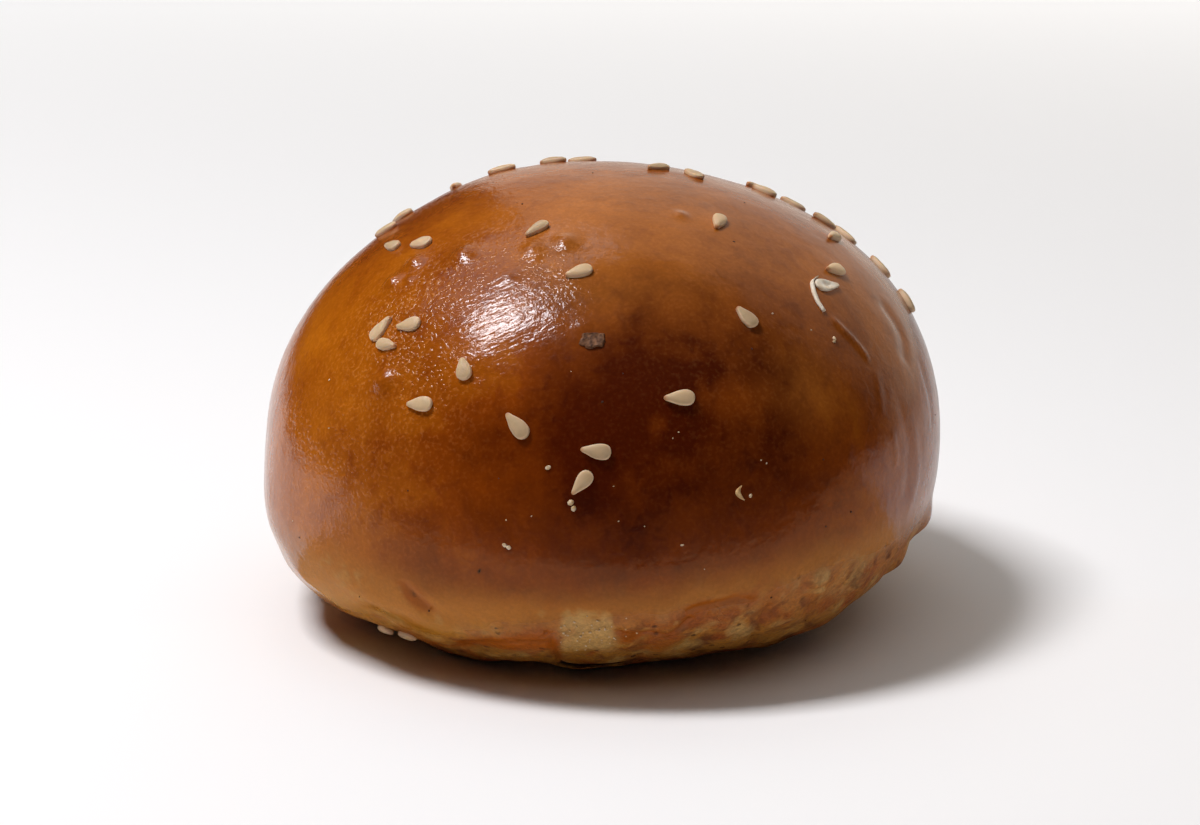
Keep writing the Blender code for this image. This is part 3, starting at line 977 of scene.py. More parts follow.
def start_material(name):
    """A material with an empty tree, its output and its Principled shader."""
    material = bpy.data.materials.new(name)
    material.use_nodes = True
    material.node_tree.nodes.clear()
    tree = material.node_tree
    shader = add(tree, "ShaderNodeBsdfPrincipled")
    add(tree, "ShaderNodeOutputMaterial", {}, {"Surface": shader.outputs["BSDF"]})
    return material, tree, shader


def closed_mesh(name, bottom, rings, top, marks=None):
    """A closed mesh of rings between two end points, from the bottom up, with its marks as attributes."""
    rings = np.asarray(rings)
    levels, count = rings.shape[:2]
    points = np.concatenate(([bottom], rings.reshape(-1, 3), [top]))
    step = np.arange(count)
    after = (step + 1) % count
    first = 1 + count * np.arange(levels - 1)[:, None]
    quads = np.stack((first + step, first + after, first + count + after, first + count + step), -1)
    last = 1 + count * (levels - 1)
    faces = [(0, 1 + a, 1 + s) for s, a in zip(step.tolist(), after.tolist())]
    faces += quads.reshape(-1, 4).tolist()
    faces += [(last + s, last + a, last + count) for s, a in zip(step.tolist(), after.tolist())]
    mesh = bpy.data.meshes.new(name)
    mesh.from_pydata(points.tolist(), [], faces)
    for mark, values in (marks or {}).items():
        values = np.asarray(values, np.float32)
        mesh.attributes.new(mark, "FLOAT", "POINT").data.foreach_set("value", values)
    mesh.shade_smooth()
    return mesh


def place_object(name, mesh):
    """Put a mesh in the scene as an object at the origin."""
    piece = bpy.data.objects.new(name, mesh)
    bpy.context.scene.collection.objects.link(piece)
    return piece


def apply_tree(piece, tree, inputs):
    """Run a Geometry Nodes tree on a piece with the given inputs and keep the result as a plain mesh."""
    modifier = piece.modifiers.new(tree.name, "NODES")
    modifier.node_group = tree
    sockets = {item.name: item.identifier for item in tree.interface.items_tree if item.in_out == "INPUT"}
    for socket, value in inputs.items():
        modifier[sockets[socket]] = value
    bpy.context.view_layer.update()
    graph = bpy.context.evaluated_depsgraph_get()
    mesh = bpy.data.meshes.new_from_object(piece.evaluated_get(graph))
    piece.modifiers.clear()
    old = piece.data
    name = old.name
    piece.data = mesh
    bpy.data.meshes.remove(old)
    mesh.name = name
    mesh.shade_smooth()


def start_tree(name, inputs):
    """A Geometry Nodes tree with its named inputs, a geometry in and a geometry out."""
    tree = bpy.data.node_groups.new(name, "GeometryNodeTree")
    tree.interface.new_socket("Geometry", in_out="INPUT", socket_type="NodeSocketGeometry")
    tree.interface.new_socket("Geometry", in_out="OUTPUT", socket_type="NodeSocketGeometry")
    for socket, kind in inputs.items():
        tree.interface.new_socket(socket, in_out="INPUT", socket_type="NodeSocket" + kind)
    return tree, tree.nodes.new("NodeGroupInput")


def finish_tree(tree, geometry, material):
    """End a tree in Realize Instances and Set Material."""
    real = add(tree, "GeometryNodeRealizeInstances", {}, {"Geometry": geometry}).outputs["Geometry"]
    painted = add(tree, "GeometryNodeSetMaterial", {}, {"Geometry": real, "Material": material})
    add(tree, "NodeGroupOutput", {}, {"Geometry": painted.outputs["Geometry"]})
    return tree


def uneven_offset(tree, size, height, draw):
    """A noise vector of the given size and height, which moves points to every side."""
    where = add(tree, "GeometryNodeInputPosition").outputs["Position"]
    scale = add(tree, "ShaderNodeMath", {"operation": "DIVIDE"}, {0: 1.0, 1: size}).outputs[0]
    lumps = add(tree, "ShaderNodeTexNoise", {"noise_dimensions": "4D"}, {
        "Vector": where, "W": draw, "Scale": scale, "Detail": 1.0}).outputs["Color"]
    centred = add(tree, "ShaderNodeVectorMath", MINUS, {0: lumps, 1: (0.5, 0.5, 0.5)}).outputs[0]
    return add(tree, "ShaderNodeVectorMath", {"operation": "SCALE"}, {0: centred, "Scale": height}).outputs[0]


def strewing_tree(name, material):
    """Geometry Nodes that set a copy of one piece on each point and make every copy a little uneven."""
    tree, given = start_tree(name, {
        "Piece": "Object", "Size": "Float", "Lump size": "Float", "Lump height": "Float", "Seed": "Float"})
    given = given.outputs
    axes = {mark: add(tree, "GeometryNodeInputNamedAttribute", {"data_type": "FLOAT_VECTOR"}, {
        "Name": mark}).outputs["Attribute"] for mark in ("forward", "outward", "size")}
    turn = add(tree, "FunctionNodeAxesToRotation", {"primary_axis": "Z", "secondary_axis": "X"}, {
        "Primary Axis": axes["outward"], "Secondary Axis": axes["forward"]}).outputs["Rotation"]
    size = add(tree, "ShaderNodeVectorMath", {"operation": "SCALE"}, {
        0: axes["size"], "Scale": given["Size"]}).outputs[0]
    piece = add(tree, "GeometryNodeObjectInfo", {"transform_space": "ORIGINAL"}, {"Object": given["Piece"]})
    copies = add(tree, "GeometryNodeInstanceOnPoints", {}, {
        "Points": given["Geometry"], "Instance": piece.outputs["Geometry"], "Rotation": turn, "Scale": size})
    real = add(tree, "GeometryNodeRealizeInstances", {}, {"Geometry": copies.outputs["Instances"]})
    offset = uneven_offset(tree, given["Lump size"], given["Lump height"], given["Seed"])
    moved = add(tree, "GeometryNodeSetPosition", {}, {"Geometry": real.outputs["Geometry"], "Offset": offset})
    return finish_tree(tree, moved.outputs["Geometry"], material)


def relief_tree(material):
    """Geometry Nodes that raise the soft pebbles of the glaze and the rough grains of the skirt."""
    tree, given = start_tree("crust relief", {
        "Peel size": "Float", "Peel height": "Float", "Grain size": "Float", "Grain height": "Float",
        "Foot height": "Float", "Seed": "Float"})
    given = given.outputs
    where = add(tree, "GeometryNodeInputPosition").outputs["Position"]
    rough = add(tree, "GeometryNodeInputNamedAttribute", {"data_type": "FLOAT"}, {
        "Name": "rough"}).outputs["Attribute"]
    smooth = add(tree, "ShaderNodeMath", MINUS, {0: 1.0, 1: rough}).outputs[0]
    total = 0.0
    for kind, share, layers in (("Peel", smooth, 1.0), ("Grain", rough, 3.0)):
        scale = add(tree, "ShaderNodeMath", {"operation": "DIVIDE"}, {0: 1.0, 1: given[kind + " size"]})
        lumps = add(tree, "ShaderNodeTexNoise", {"noise_dimensions": "4D"}, {
            "Vector": where, "W": given["Seed"], "Scale": scale.outputs[0], "Detail": layers}).outputs["Fac"]
        centred = add(tree, "ShaderNodeMath", MINUS, {0: lumps, 1: 0.5}).outputs[0]
        height = add(tree, "ShaderNodeMath", TIMES, {0: centred, 1: share}).outputs[0]
        total = add(tree, "ShaderNodeMath", TIMES_PLUS, {
            0: height, 1: given[kind + " height"], 2: total}).outputs[0]
    # The foot stays where it stands on the tray
    rise = add(tree, "ShaderNodeSeparateXYZ", {}, {"Vector": where}).outputs["Z"]
    clear = add(tree, "ShaderNodeMapRange", SOFT_STEP, {
        "Value": rise, "From Min": 0.0, "From Max": given["Foot height"]}).outputs["Result"]
    total = add(tree, "ShaderNodeMath", TIMES, {0: total, 1: clear}).outputs[0]
    normal = add(tree, "GeometryNodeInputNormal").outputs["Normal"]
    offset = add(tree, "ShaderNodeVectorMath", {"operation": "SCALE"}, {0: normal, "Scale": total}).outputs[0]
    moved = add(tree, "GeometryNodeSetPosition", {}, {"Geometry": given["Geometry"], "Offset": offset})
    return finish_tree(tree, moved.outputs["Geometry"], material)


def crust_patterns(tree, where):
    """By name: the crust's marks, the noises over it, and what is cut out of those where the marks let it."""
    patterns = {mark: add(tree, "ShaderNodeAttribute", {"attribute_name": mark}).outputs["Fac"] for mark in (
        "browning", "dull", "skirt", "rough", "wrinkled", "beaded", "pale", "rust", "scorch", "under")}
    patterns["glossy"] = add(tree, "ShaderNodeMath", MINUS, {0: 1.0, 1: patterns["rough"]}).outputs[0]
    for name, (size, layers, bend) in CRUST_NOISES.items():
        patterns[name] = add(tree, "ShaderNodeTexNoise", {}, {
            "Vector": where, "Scale": 1 / size, "Detail": layers, "Distortion": bend}).outputs["Fac"]
    stretched = add(tree, "ShaderNodeMapping", {"vector_type": "TEXTURE"}, {
        "Vector": where, "Rotation": (0, WRINKLE_SLANT, 0), "Scale": WRINKLE_SIZE}).outputs[0]
    patterns["wrinkles"] = add(tree, "ShaderNodeTexNoise", {}, {
        "Vector": stretched, "Scale": 1.0, "Detail": 2.0, "Distortion": WRINKLE_BEND}).outputs["Fac"]
    push = add(tree, "ShaderNodeTexNoise", {}, {
        "Vector": where, "Scale": 1 / CRACK_BEND_SIZE, "Detail": 2.0}).outputs["Color"]
    bent = add(tree, "ShaderNodeVectorMath", TIMES_PLUS, {
        0: push, 1: (CRACK_BEND, CRACK_BEND, CRACK_BEND), 2: where}).outputs[0]
    patterns["wall"] = add(tree, "ShaderNodeTexVoronoi", {"feature": "DISTANCE_TO_EDGE"}, {
        "Vector": bent, "Scale": 1 / CRACK_SPACING}).outputs["Distance"]
    patterns["cell"] = add(tree, "ShaderNodeTexVoronoi", {}, {
        "Vector": where, "Scale": 1 / PIT_SPACING}).outputs["Distance"]
    for name, source, start, full, factors in CUT_PATTERNS:
        cut = add(tree, "ShaderNodeMapRange", SOFT_STEP, {
            "Value": patterns[source], "From Min": start, "From Max": full}).outputs["Result"]
        for factor in factors:
            cut = add(tree, "ShaderNodeMath", TIMES, {0: cut, 1: patterns[factor]}).outputs[0]
        patterns[name] = cut
    return patterns


def glaze_colour(tree, patterns):
    """Egg wash from light amber to dark brown as it baked, bright or dull, the dull tones partly a
    painted sheen, with golden painted glints on the tops of its beads.
    """
    colours = bpy.context.scene.bun_colours
    browning = patterns["browning"]
    for name, weight in BROWNING_PATTERNS:
        browning = add(tree, "ShaderNodeMath", TIMES_PLUS, {
            0: patterns[name], 1: weight, 2: browning}).outputs[0]
    browning = add(tree, "ShaderNodeMath", MINUS, {0: browning, 1: BROWNING_MEAN}).outputs[0]
    finishes = []
    for tones in GLAZE_TONES:
        baked = add(tree, "ShaderNodeValToRGB", {}, {"Fac": browning})
        stops = baked.color_ramp.elements
        while len(stops) < len(tones):
            stops.new(0.5)
        for index, tone in enumerate(tones):
            stops[index].position = index / (len(tones) - 1)
            stops[index].color = getattr(colours, tone)
        finishes.append(baked.outputs["Color"])
    # Dull glaze, whose greyer tone is partly a painted sheen
    dull_and_sheen = add(tree, "ShaderNodeMath", {"operation": "MINIMUM"}, {
        0: patterns["dull"], 1: MOST_DULL_AND_SHEEN}).outputs[0]
    glaze = add(tree, "ShaderNodeMix", MIX_COLOURS, {0: dull_and_sheen, 6: finishes[0], 7: finishes[1]}).outputs[2]
    # Painted glint: the tops of the beads turn golden
    golden = add(tree, "ShaderNodeMath", TIMES, {0: patterns["beads"], 1: PAINTED_GLINT_GOLD}).outputs[0]
    return add(tree, "ShaderNodeMix", MIX_COLOURS, {
        0: golden, 6: glaze, 7: tuple(colours.painted_bead_glint)}).outputs[2]


def skirt_colour(tree, patterns, where):
    """Unglazed crust: tan where the glaze runs out, olive near the tray, with brown drifts and pale lumps."""
    colours = bpy.context.scene.bun_colours
    height = add(tree, "ShaderNodeSeparateXYZ", {}, {"Vector": where}).outputs["Z"]
    height = add(tree, "ShaderNodeMath", TIMES_PLUS, {
        0: patterns["sand"], 1: OLIVE_WANDER, 2: height}).outputs[0]
    low = add(tree, "ShaderNodeMapRange", SOFT_STEP, {
        "Value": height, "From Min": OLIVE_START, "From Max": OLIVE_FULL}).outputs["Result"]
    skirt = add(tree, "ShaderNodeMix", MIX_COLOURS, {
        0: low, 6: tuple(colours.skirt_tan), 7: tuple(colours.skirt_olive)}).outputs[2]
    for name, start, full, most, tone in SKIRT_PATCHES:
        share = add(tree, "ShaderNodeMapRange", SOFT_STEP, {
            "Value": patterns[name], "From Min": start, "From Max": full, "To Max": most}).outputs["Result"]
        share = add(tree, "ShaderNodeMath", TIMES, {0: share, 1: patterns["rough"]}).outputs[0]
        skirt = add(tree, "ShaderNodeMix", MIX_COLOURS, {
            0: share, 6: skirt, 7: tuple(getattr(colours, tone))}).outputs[2]
    return skirt


def crust_material():
    """Egg-washed crust: a clear, hard glaze over brown bread, which runs out into a matt, floury skirt."""
    colours = bpy.context.scene.bun_colours
    material, tree, shader = start_material("egg-washed crust")
    where = add(tree, "ShaderNodeTexCoord").outputs["Object"]
    patterns = crust_patterns(tree, where)

    # The glaze, then what lies over it, the stained cracks and the pits painted dark, and the speckles of
    # tone
    colour = glaze_colour(tree, patterns)
    tones = {tone: tuple(getattr(colours, tone)) for tone in ("base", "crumb", "rust", "scorch")}
    tones["skirt"] = skirt_colour(tree, patterns, where)
    for mark, frays, weight, start, full, most, tone in CRUST_LAYERS:
        frayed = add(tree, "ShaderNodeMath", TIMES_PLUS, {
            0: patterns[frays], 1: weight, 2: patterns[mark]}).outputs[0]
        share = add(tree, "ShaderNodeMapRange", SOFT_STEP, {
            "Value": frayed, "From Min": start, "From Max": full, "To Max": most}).outputs["Result"]
        colour = add(tree, "ShaderNodeMix", MIX_COLOURS, {0: share, 6: colour, 7: tones[tone]}).outputs[2]
    for name, most, tone in HOLLOW_COLOURS:
        share = add(tree, "ShaderNodeMath", TIMES, {0: patterns[name], 1: most}).outputs[0]
        colour = add(tree, "ShaderNodeMix", MIX_COLOURS, {0: share, 6: colour, 7: tones[tone]}).outputs[2]
    speckle = add(tree, "ShaderNodeMapRange", {}, {
        "Value": patterns["grit"], "From Min": SPECKLE_EDGE[0], "From Max": SPECKLE_EDGE[1],
        "To Min": SPECKLE_TONES[0], "To Max": SPECKLE_TONES[1]}).outputs["Result"]
    speckled = add(tree, "ShaderNodeMath", TIMES_PLUS, {
        0: patterns["rough"], 1: 1 - GLAZE_SPECKLES, 2: GLAZE_SPECKLES}).outputs[0]
    colour = add(tree, "ShaderNodeMix", {"data_type": "RGBA", "blend_type": "MULTIPLY"}, {
        0: speckled, 6: colour, 7: speckle}).outputs[2]
    tree.links.new(colour, shader.inputs["Base Color"])

    glaze_roughness = GLAZE_ROUGHNESS
    for name, weight in (("freckle", FRECKLE_ROUGHNESS), ("beads", BEAD_ROUGHNESS)):
        glaze_roughness = add(tree, "ShaderNodeMath", TIMES_PLUS, {
            0: patterns[name], 1: weight, 2: glaze_roughness}).outputs[0]
    roughness = add(tree, "ShaderNodeMapRange", SOFT_STEP, {
        "Value": patterns["rough"], "To Min": glaze_roughness, "To Max": SKIRT_ROUGHNESS}).outputs["Result"]
    tree.links.new(roughness, shader.inputs["Roughness"])

    height = 0.0
    for name, factors, thickness in CRUST_BUMPS:
        part = patterns[name]
        for factor in factors:
            part = add(tree, "ShaderNodeMath", TIMES, {0: part, 1: patterns[factor]}).outputs[0]
        height = add(tree, "ShaderNodeMath", TIMES_PLUS, {0: part, 1: thickness, 2: height}).outputs[0]
    bump = add(tree, "ShaderNodeBump", {}, {"Height": height, "Distance": MM, "Strength": 1.0})
    tree.links.new(bump.outputs["Normal"], shader.inputs["Normal"])
    shader.inputs["IOR"].default_value = GLAZE_IOR
    return material


def seed_material():
    """Hulled sesame: a satin, slightly see-through cream, with a darker tip and a pale margin."""
    colours = bpy.context.scene.bun_colours
    material, tree, shader = start_material("hulled sesame")
    where = add(tree, "ShaderNodeTexCoord").outputs["Object"]
    marks = {mark: add(tree, "ShaderNodeAttribute", {"attribute_name": mark}).outputs["Fac"]
             for mark in ("tip", "margin", "tone")}
    mottle = add(tree, "ShaderNodeTexNoise", {}, {
        "Vector": where, "Scale": 1 / MOTTLE_SIZE, "Detail": 3.0}).outputs["Fac"]
    tone = add(tree, "ShaderNodeMath", TIMES_PLUS, {0: mottle, 1: MOTTLE_SHARE, 2: marks["tone"]}).outputs[0]
    shade = add(tree, "ShaderNodeMapRange", {}, {
        "Value": tone, "From Min": 0.0, "From Max": 1 + MOTTLE_SHARE,
        "To Min": SEED_TONES[0], "To Max": SEED_TONES[1]}).outputs["Result"]
    colour = add(tree, "ShaderNodeMix", {"data_type": "RGBA", "blend_type": "MULTIPLY"}, {
        0: 1.0, 6: tuple(colours.seed), 7: shade}).outputs[2]
    for mark, over in (("margin", colours.seed_margin), ("tip", colours.seed_tip)):
        colour = add(tree, "ShaderNodeMix", MIX_COLOURS, {
            0: marks[mark], 6: colour, 7: tuple(over)}).outputs[2]
    tree.links.new(colour, shader.inputs["Base Color"])
    roughness = add(tree, "ShaderNodeMath", TIMES_PLUS, {
        0: mottle, 1: MOTTLE_ROUGHNESS, 2: SEED_ROUGHNESS}).outputs[0]
    tree.links.new(roughness, shader.inputs["Roughness"])
    pores = add(tree, "ShaderNodeTexNoise", {}, {
        "Vector": where, "Scale": 1 / PORE_SIZE, "Detail": 2.0}).outputs["Fac"]
    bump = add(tree, "ShaderNodeBump", {}, {"Height": pores, "Distance": PORE_DEPTH, "Strength": 1.0})
    tree.links.new(bump.outputs["Normal"], shader.inputs["Normal"])
    shader.inputs["IOR"].default_value = SEED_IOR
    shader.inputs["Subsurface Weight"].default_value = SEED_GLOW
    shader.inputs["Subsurface Radius"].default_value = SEED_GLOW_RADII
    shader.inputs["Subsurface Scale"].default_value = SEED_GLOW_DEPTH
    return material


def dry_material(name):
    """A dry baked bit: a matt, porous surface that goes from a light to a dark tone within each grain."""
    colours = bpy.context.scene.bun_colours
    light, dark, size, roughness, depth = DRY_FINISHES[name]
    material, tree, shader = start_material(name)
    where = add(tree, "ShaderNodeTexCoord").outputs["Object"]
    grain = add(tree, "ShaderNodeTexNoise", {}, {
        "Vector": where, "Scale": 1 / size, "Detail": 3.0}).outputs["Fac"]
    tones = add(tree, "ShaderNodeValToRGB", {}, {"Fac": grain})
    for stop, place, tone in zip(tones.color_ramp.elements, GRAIN_EDGE, (light, dark)):
        stop.position = place
        stop.color = getattr(colours, tone)
    tree.links.new(tones.outputs["Color"], shader.inputs["Base Color"])
    uneven = add(tree, "ShaderNodeMath", TIMES_PLUS, {
        0: grain, 1: GRAIN_ROUGHNESS, 2: roughness - GRAIN_ROUGHNESS / 2}).outputs[0]
    tree.links.new(uneven, shader.inputs["Roughness"])
    bump = add(tree, "ShaderNodeBump", {}, {"Height": grain, "Distance": depth, "Strength": 1.0})
    tree.links.new(bump.outputs["Normal"], shader.inputs["Normal"])
    return material


def hand_over(piece):
    """Let a finished piece ride on the bun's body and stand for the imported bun."""
    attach(piece, BODY)
    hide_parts("bun")


def crust_rises():
    """Rises of the crust's rings, evenly spaced along it and closer together on the skirt."""
    rises = np.linspace(LOWEST_RISE, MARGIN_RISE, MEASURING_STEPS)
    points = even_bun(0.0, rises)
    crowding = np.where(points[1:, 2] < SKIRT_TOP, SKIRT_CROWDING, 1.0)
    run = np.concatenate(([0], np.cumsum(np.linalg.norm(np.diff(points, axis=0), axis=1) * crowding)))
    return np.interp(np.linspace(0, run[-1], RINGS), run, rises)


def crust_marks(points, around, under):
    """How the crust's finish goes from place to place: each mark is 0 where absent and 1 where full."""
    short_wander = SHORT_WANDER_SHARE * noise_at(points, SHORT_WANDER_LENGTH)
    wander = SKIRT_WANDER * (noise_at(points, WANDER_LENGTH) + short_wander)
    edge_around, pale_edge, glaze_edge = zip(*SKIRT_EDGES)
    below = {}
    for mark, edge, softness in (("skirt", pale_edge, PALE_SOFTNESS), ("rough", glaze_edge, GLAZE_SOFTNESS)):
        over = points[..., 2] - np.interp(around, edge_around, edge) - wander
        below[mark] = np.maximum(1 - ramp(-softness, softness, over), under)
    rust = dabs_at(points, RUSTY_PLACES)
    unbroken = ramp(*FOOT_SHADE_EDGE, noise_at(points, FOOT_SHADE_BREAKS))
    foot_line = unbroken * np.exp(-((points[..., 2] / FOOT_SHADE) ** 2))
    # Painted shadow: the gap's recess is painted dark
    gap = stroke_at(points, GAP_PLACES, GAP_BREADTH)
    scorch = dabs_at(points, SCORCHED_PLACES) + np.maximum(foot_line, gap)
    for places, breadth, height, rustiness in STROKES:
        rust += rustiness * stroke_at(points, places, breadth + STAIN_REACH)
        scorch += CRACK_DARKNESS * rustiness * stroke_at(points, places, breadth)
    below["rough"] = below["rough"] * (1 - POOLED_GLOSS * np.minimum(rust, 1))
    wrinkled = WRINKLED_EVERYWHERE + dabs_at(points, WRINKLED_PLACES)
    beaded = BEADED_EVERYWHERE + dabs_at(points, BEADED_PLACES)
    drift = BROWNING_DRIFT * noise_at(points, BROWNING_DRIFT_SIZE)
    frayed = points + FRAY_DEPTH * noise_at(points, FRAY_SIZE)[..., None]
    return {
        "browning": MIDDLE_BROWNING + drift + dabs_at(points, BROWNING_AND_PAINTED_LIGHT),
        **below,
        "wrinkled": wrinkled,
        "beaded": beaded * (1 - BEADS_LOST * np.minimum(wrinkled, 1)),
        # Dull glaze, partly a painted sheen
        "dull": dabs_at(points, DULL_AND_SHEEN_PLACES),
        "pale": dabs_at(frayed, PALE_TORN_AND_PAINTED_LIGHT_PLACES, EDGE_SHARPNESS),
        "rust": rust,
        "scorch": scorch * (1 - under),
        "under": under,
    }


def crust_detail(even):
    """How far blisters, seed beds, scars, cracks and torn places stand out at points of the even bun."""
    beds = [(around, rise, BED_BREADTH, BED_HEIGHT) for around, rise, *rest in seed_places()]
    detail = dabs_at(even, BLISTERS) + dabs_at(even, beds)
    for places, breadth, height, rustiness in STROKES:
        detail += height * stroke_at(even, places, breadth)
    torn = np.minimum(dabs_at(even, PALE_TORN_AND_PAINTED_LIGHT_PLACES, EDGE_SHARPNESS), 1)
    return detail + torn * (TORN_LUMP_HEIGHT * noise_at(even, TORN_LUMP_SIZE) - TORN_DEPTH)


def underside(edge):
    """The dimpled underside: its middle, its rings out to the foot's edge, and how flat each point lies."""
    middle = np.array((*edge[:, :2].mean(0), 0))
    inward = np.linspace(0, 1, UNDER_RINGS + 1, endpoint=False)[:0:-1]
    rings = middle + (edge - middle) * (1 - inward[:, None, None])
    flat = ramp(0, FOOT_EDGE, np.linalg.norm(rings - edge, axis=-1))
    dimples = noise_at(rings, DIMPLE_SIZE) + FINE_DIMPLE_SHARE * noise_at(rings, FINE_DIMPLE_SIZE)
    rings[..., 2] = edge[:, 2] * (1 - flat) + DIMPLE_HEIGHT * np.maximum(dimples, 0) * flat
    return middle, rings, flat


class BUN_OT_crust(bpy.types.Operator):
    """Make the crust: the whole bun in one closed skin, from its underside to its crown"""

    bl_idname = "bun.crust"
    bl_label = "Make the crust"

    def execute(self, context):
        sizes = context.scene.bun_sizes
        turn = np.linspace(-math.pi, math.pi, ROUND_STEPS, endpoint=False)
        around = np.degrees(turn - FRONT_CROWDING * np.sin(turn))
        rises = crust_rises()[:, None]
        even = even_bun(around, rises)
        sides = crust_points(around, rises, crust_detail(even))
        gap = GAP_DEPTH * stroke_at(even, GAP_PLACES, GAP_BREADTH)
        sides[..., :2] *= 1 - gap[..., None] / sizes.radius
        middle, rings, flat = underside(sides[0])

        below = UNDERSIDE_AT_EDGE + (1 - UNDERSIDE_AT_EDGE) * flat
        below = np.concatenate((below, np.zeros(sides.shape[:2])))
        marks = crust_marks(np.concatenate((rings, even)), around, below)
        # The two end points of the mesh take the marks of the rings next to them
        marks = {mark: np.concatenate((values[0, :1], values.ravel(), values[-1, :1]))
                 for mark, values in marks.items()}
        crown = crust_points(0.0, 90.0)
        mesh = closed_mesh("crust", middle, np.concatenate((rings, sides)), crown, marks)
        piece = place_object("crust", mesh)
        apply_tree(piece, relief_tree(crust_material()), {
            "Peel size": sizes.peel_size, "Peel height": sizes.peel_height, "Grain size": sizes.grain_size,
            "Grain height": sizes.grain_height, "Foot height": FOOT_HEIGHT, "Seed": RELIEF_DRAW})
        hand_over(piece)
        return {"FINISHED"}


def strew(name, places, pattern, tree, inputs, tones=None):
    """Set copies of a pattern mesh at places, each a place, its two axes and its size, as one piece."""
    spots = bpy.data.meshes.new(name)
    spots.from_pydata([tuple(row[0]) for row in places], [], [])
    for mark, column in (("forward", 1), ("outward", 2), ("size", 3)):
        values = np.array([tuple(row[column]) for row in places], np.float32).ravel()
        spots.attributes.new(mark, "FLOAT_VECTOR", "POINT").data.foreach_set("vector", values)
    if tones:
        values = np.array(tones, np.float32)
        spots.attributes.new("tone", "FLOAT", "POINT").data.foreach_set("value", values)
    master = place_object(name + " pattern", pattern)
    piece = place_object(name, spots)
    apply_tree(piece, tree, {"Piece": master, **inputs})
    bpy.data.objects.remove(master)
    for mark in ("forward", "outward", "size"):
        if mark in piece.data.attributes:
            piece.data.attributes.remove(piece.data.attributes[mark])
    return piece


def seed_pattern():
    """One sesame seed of unit half-sizes: a flat drop with rounded faces and a groove inside its margin."""
    angle = np.linspace(0, 2 * math.pi, SEED_SIDES, endpoint=False)
    along, width = zip(*SEED_PROFILE)
    x = np.cos(angle)
    y = np.copysign(np.interp(x, along, width), np.sin(angle))
    levels = [(reach, -1) for reach in reversed(SEED_LEVELS)] + [(1.0, 0)]
    levels += [(reach, 1) for reach in SEED_LEVELS]
    rings = []
    tips = []
    margins = []
    for reach, side in levels:
        swell = (1 - reach * reach) ** SEED_BLUNTNESS if reach < 1 else 0.0
        groove = SEED_GROOVE * math.exp(-(((reach - SEED_MARGIN) / SEED_GROOVE_BREADTH) ** 2))
        rings.append(np.stack((x * reach, y * reach, np.full_like(x, side * (swell - groove))), -1))
        tips.append(DARK_TIP_SHARE * ramp(DARK_TIP_START, 1.0, x * reach))
        margins.append(np.full_like(x, PALE_MARGIN_SHARE * ramp(SEED_MARGIN, PALE_MARGIN_FULL, reach)))
    marks = {mark: np.concatenate(([0], np.ravel(values), [0]))
             for mark, values in (("tip", tips), ("margin", margins))}
    return closed_mesh("seed pattern", (0, 0, -1), rings, (0, 0, 1), marks)


class BUN_OT_seeds(bpy.types.Operator):
    """Strew the sesame seeds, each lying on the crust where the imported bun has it"""

    bl_idname = "bun.seeds"
    bl_label = "Strew the seeds"

    def execute(self, context):
        sizes = context.scene.bun_sizes
        places = []
        tones = []
        for index, (around, rise, heading, breadth, length, tone) in enumerate(seed_places()):
            if index == BROKEN_SEED:
                continue
            size = SEED_SMALLEST + SEED_VARIETY * (index * GOLDEN % 1)
            halves = (size * length * sizes.seed_length / 2, size * breadth * sizes.seed_width / 2,
                      sizes.seed_thickness / 2)
            places.append((*standing_axes(around, rise, heading, SEED_LIFT), halves))
            tones.append(tone)
        piece = strew("seeds", places, seed_pattern(), strewing_tree("strew seeds", seed_material()), {
            "Size": 1.0, "Lump size": SEED_DENT_SIZE, "Lump height": SEED_DENT_DEPTH,
            "Seed": SEED_DENT_DRAW}, tones)
        hand_over(piece)
        return {"FINISHED"}


def tube_along(name, frames, radii, flatness):
    """A closed tube through frames that stand on the crust, with a radius at each and flattened in height."""
    angle = np.linspace(0, 2 * math.pi, TUBE_SIDES, endpoint=False)
    rings = []
    for stand, radius in zip(frames, radii):
        ring = [stand @ Vector((0, math.cos(a) * radius, math.sin(a) * radius * flatness)) for a in angle]
        rings.append([tuple(corner) for corner in ring])
    return closed_mesh(name, tuple(frames[0].translation), rings, tuple(frames[-1].translation))


def between(places, count):
    """Places spaced along a line through the given ones, with its corners rounded."""
    places = np.array(places, float)
    steps = np.arange(len(places))
    fine = np.linspace(0, len(places) - 1, count)
    line = np.stack([np.interp(fine, steps, places[:, axis]) for axis in (0, 1)], -1)
    rounded = line.copy()
    rounded[1:-1] = (line[:-2] + 2 * line[1:-1] + line[2:]) / 4
    return rounded


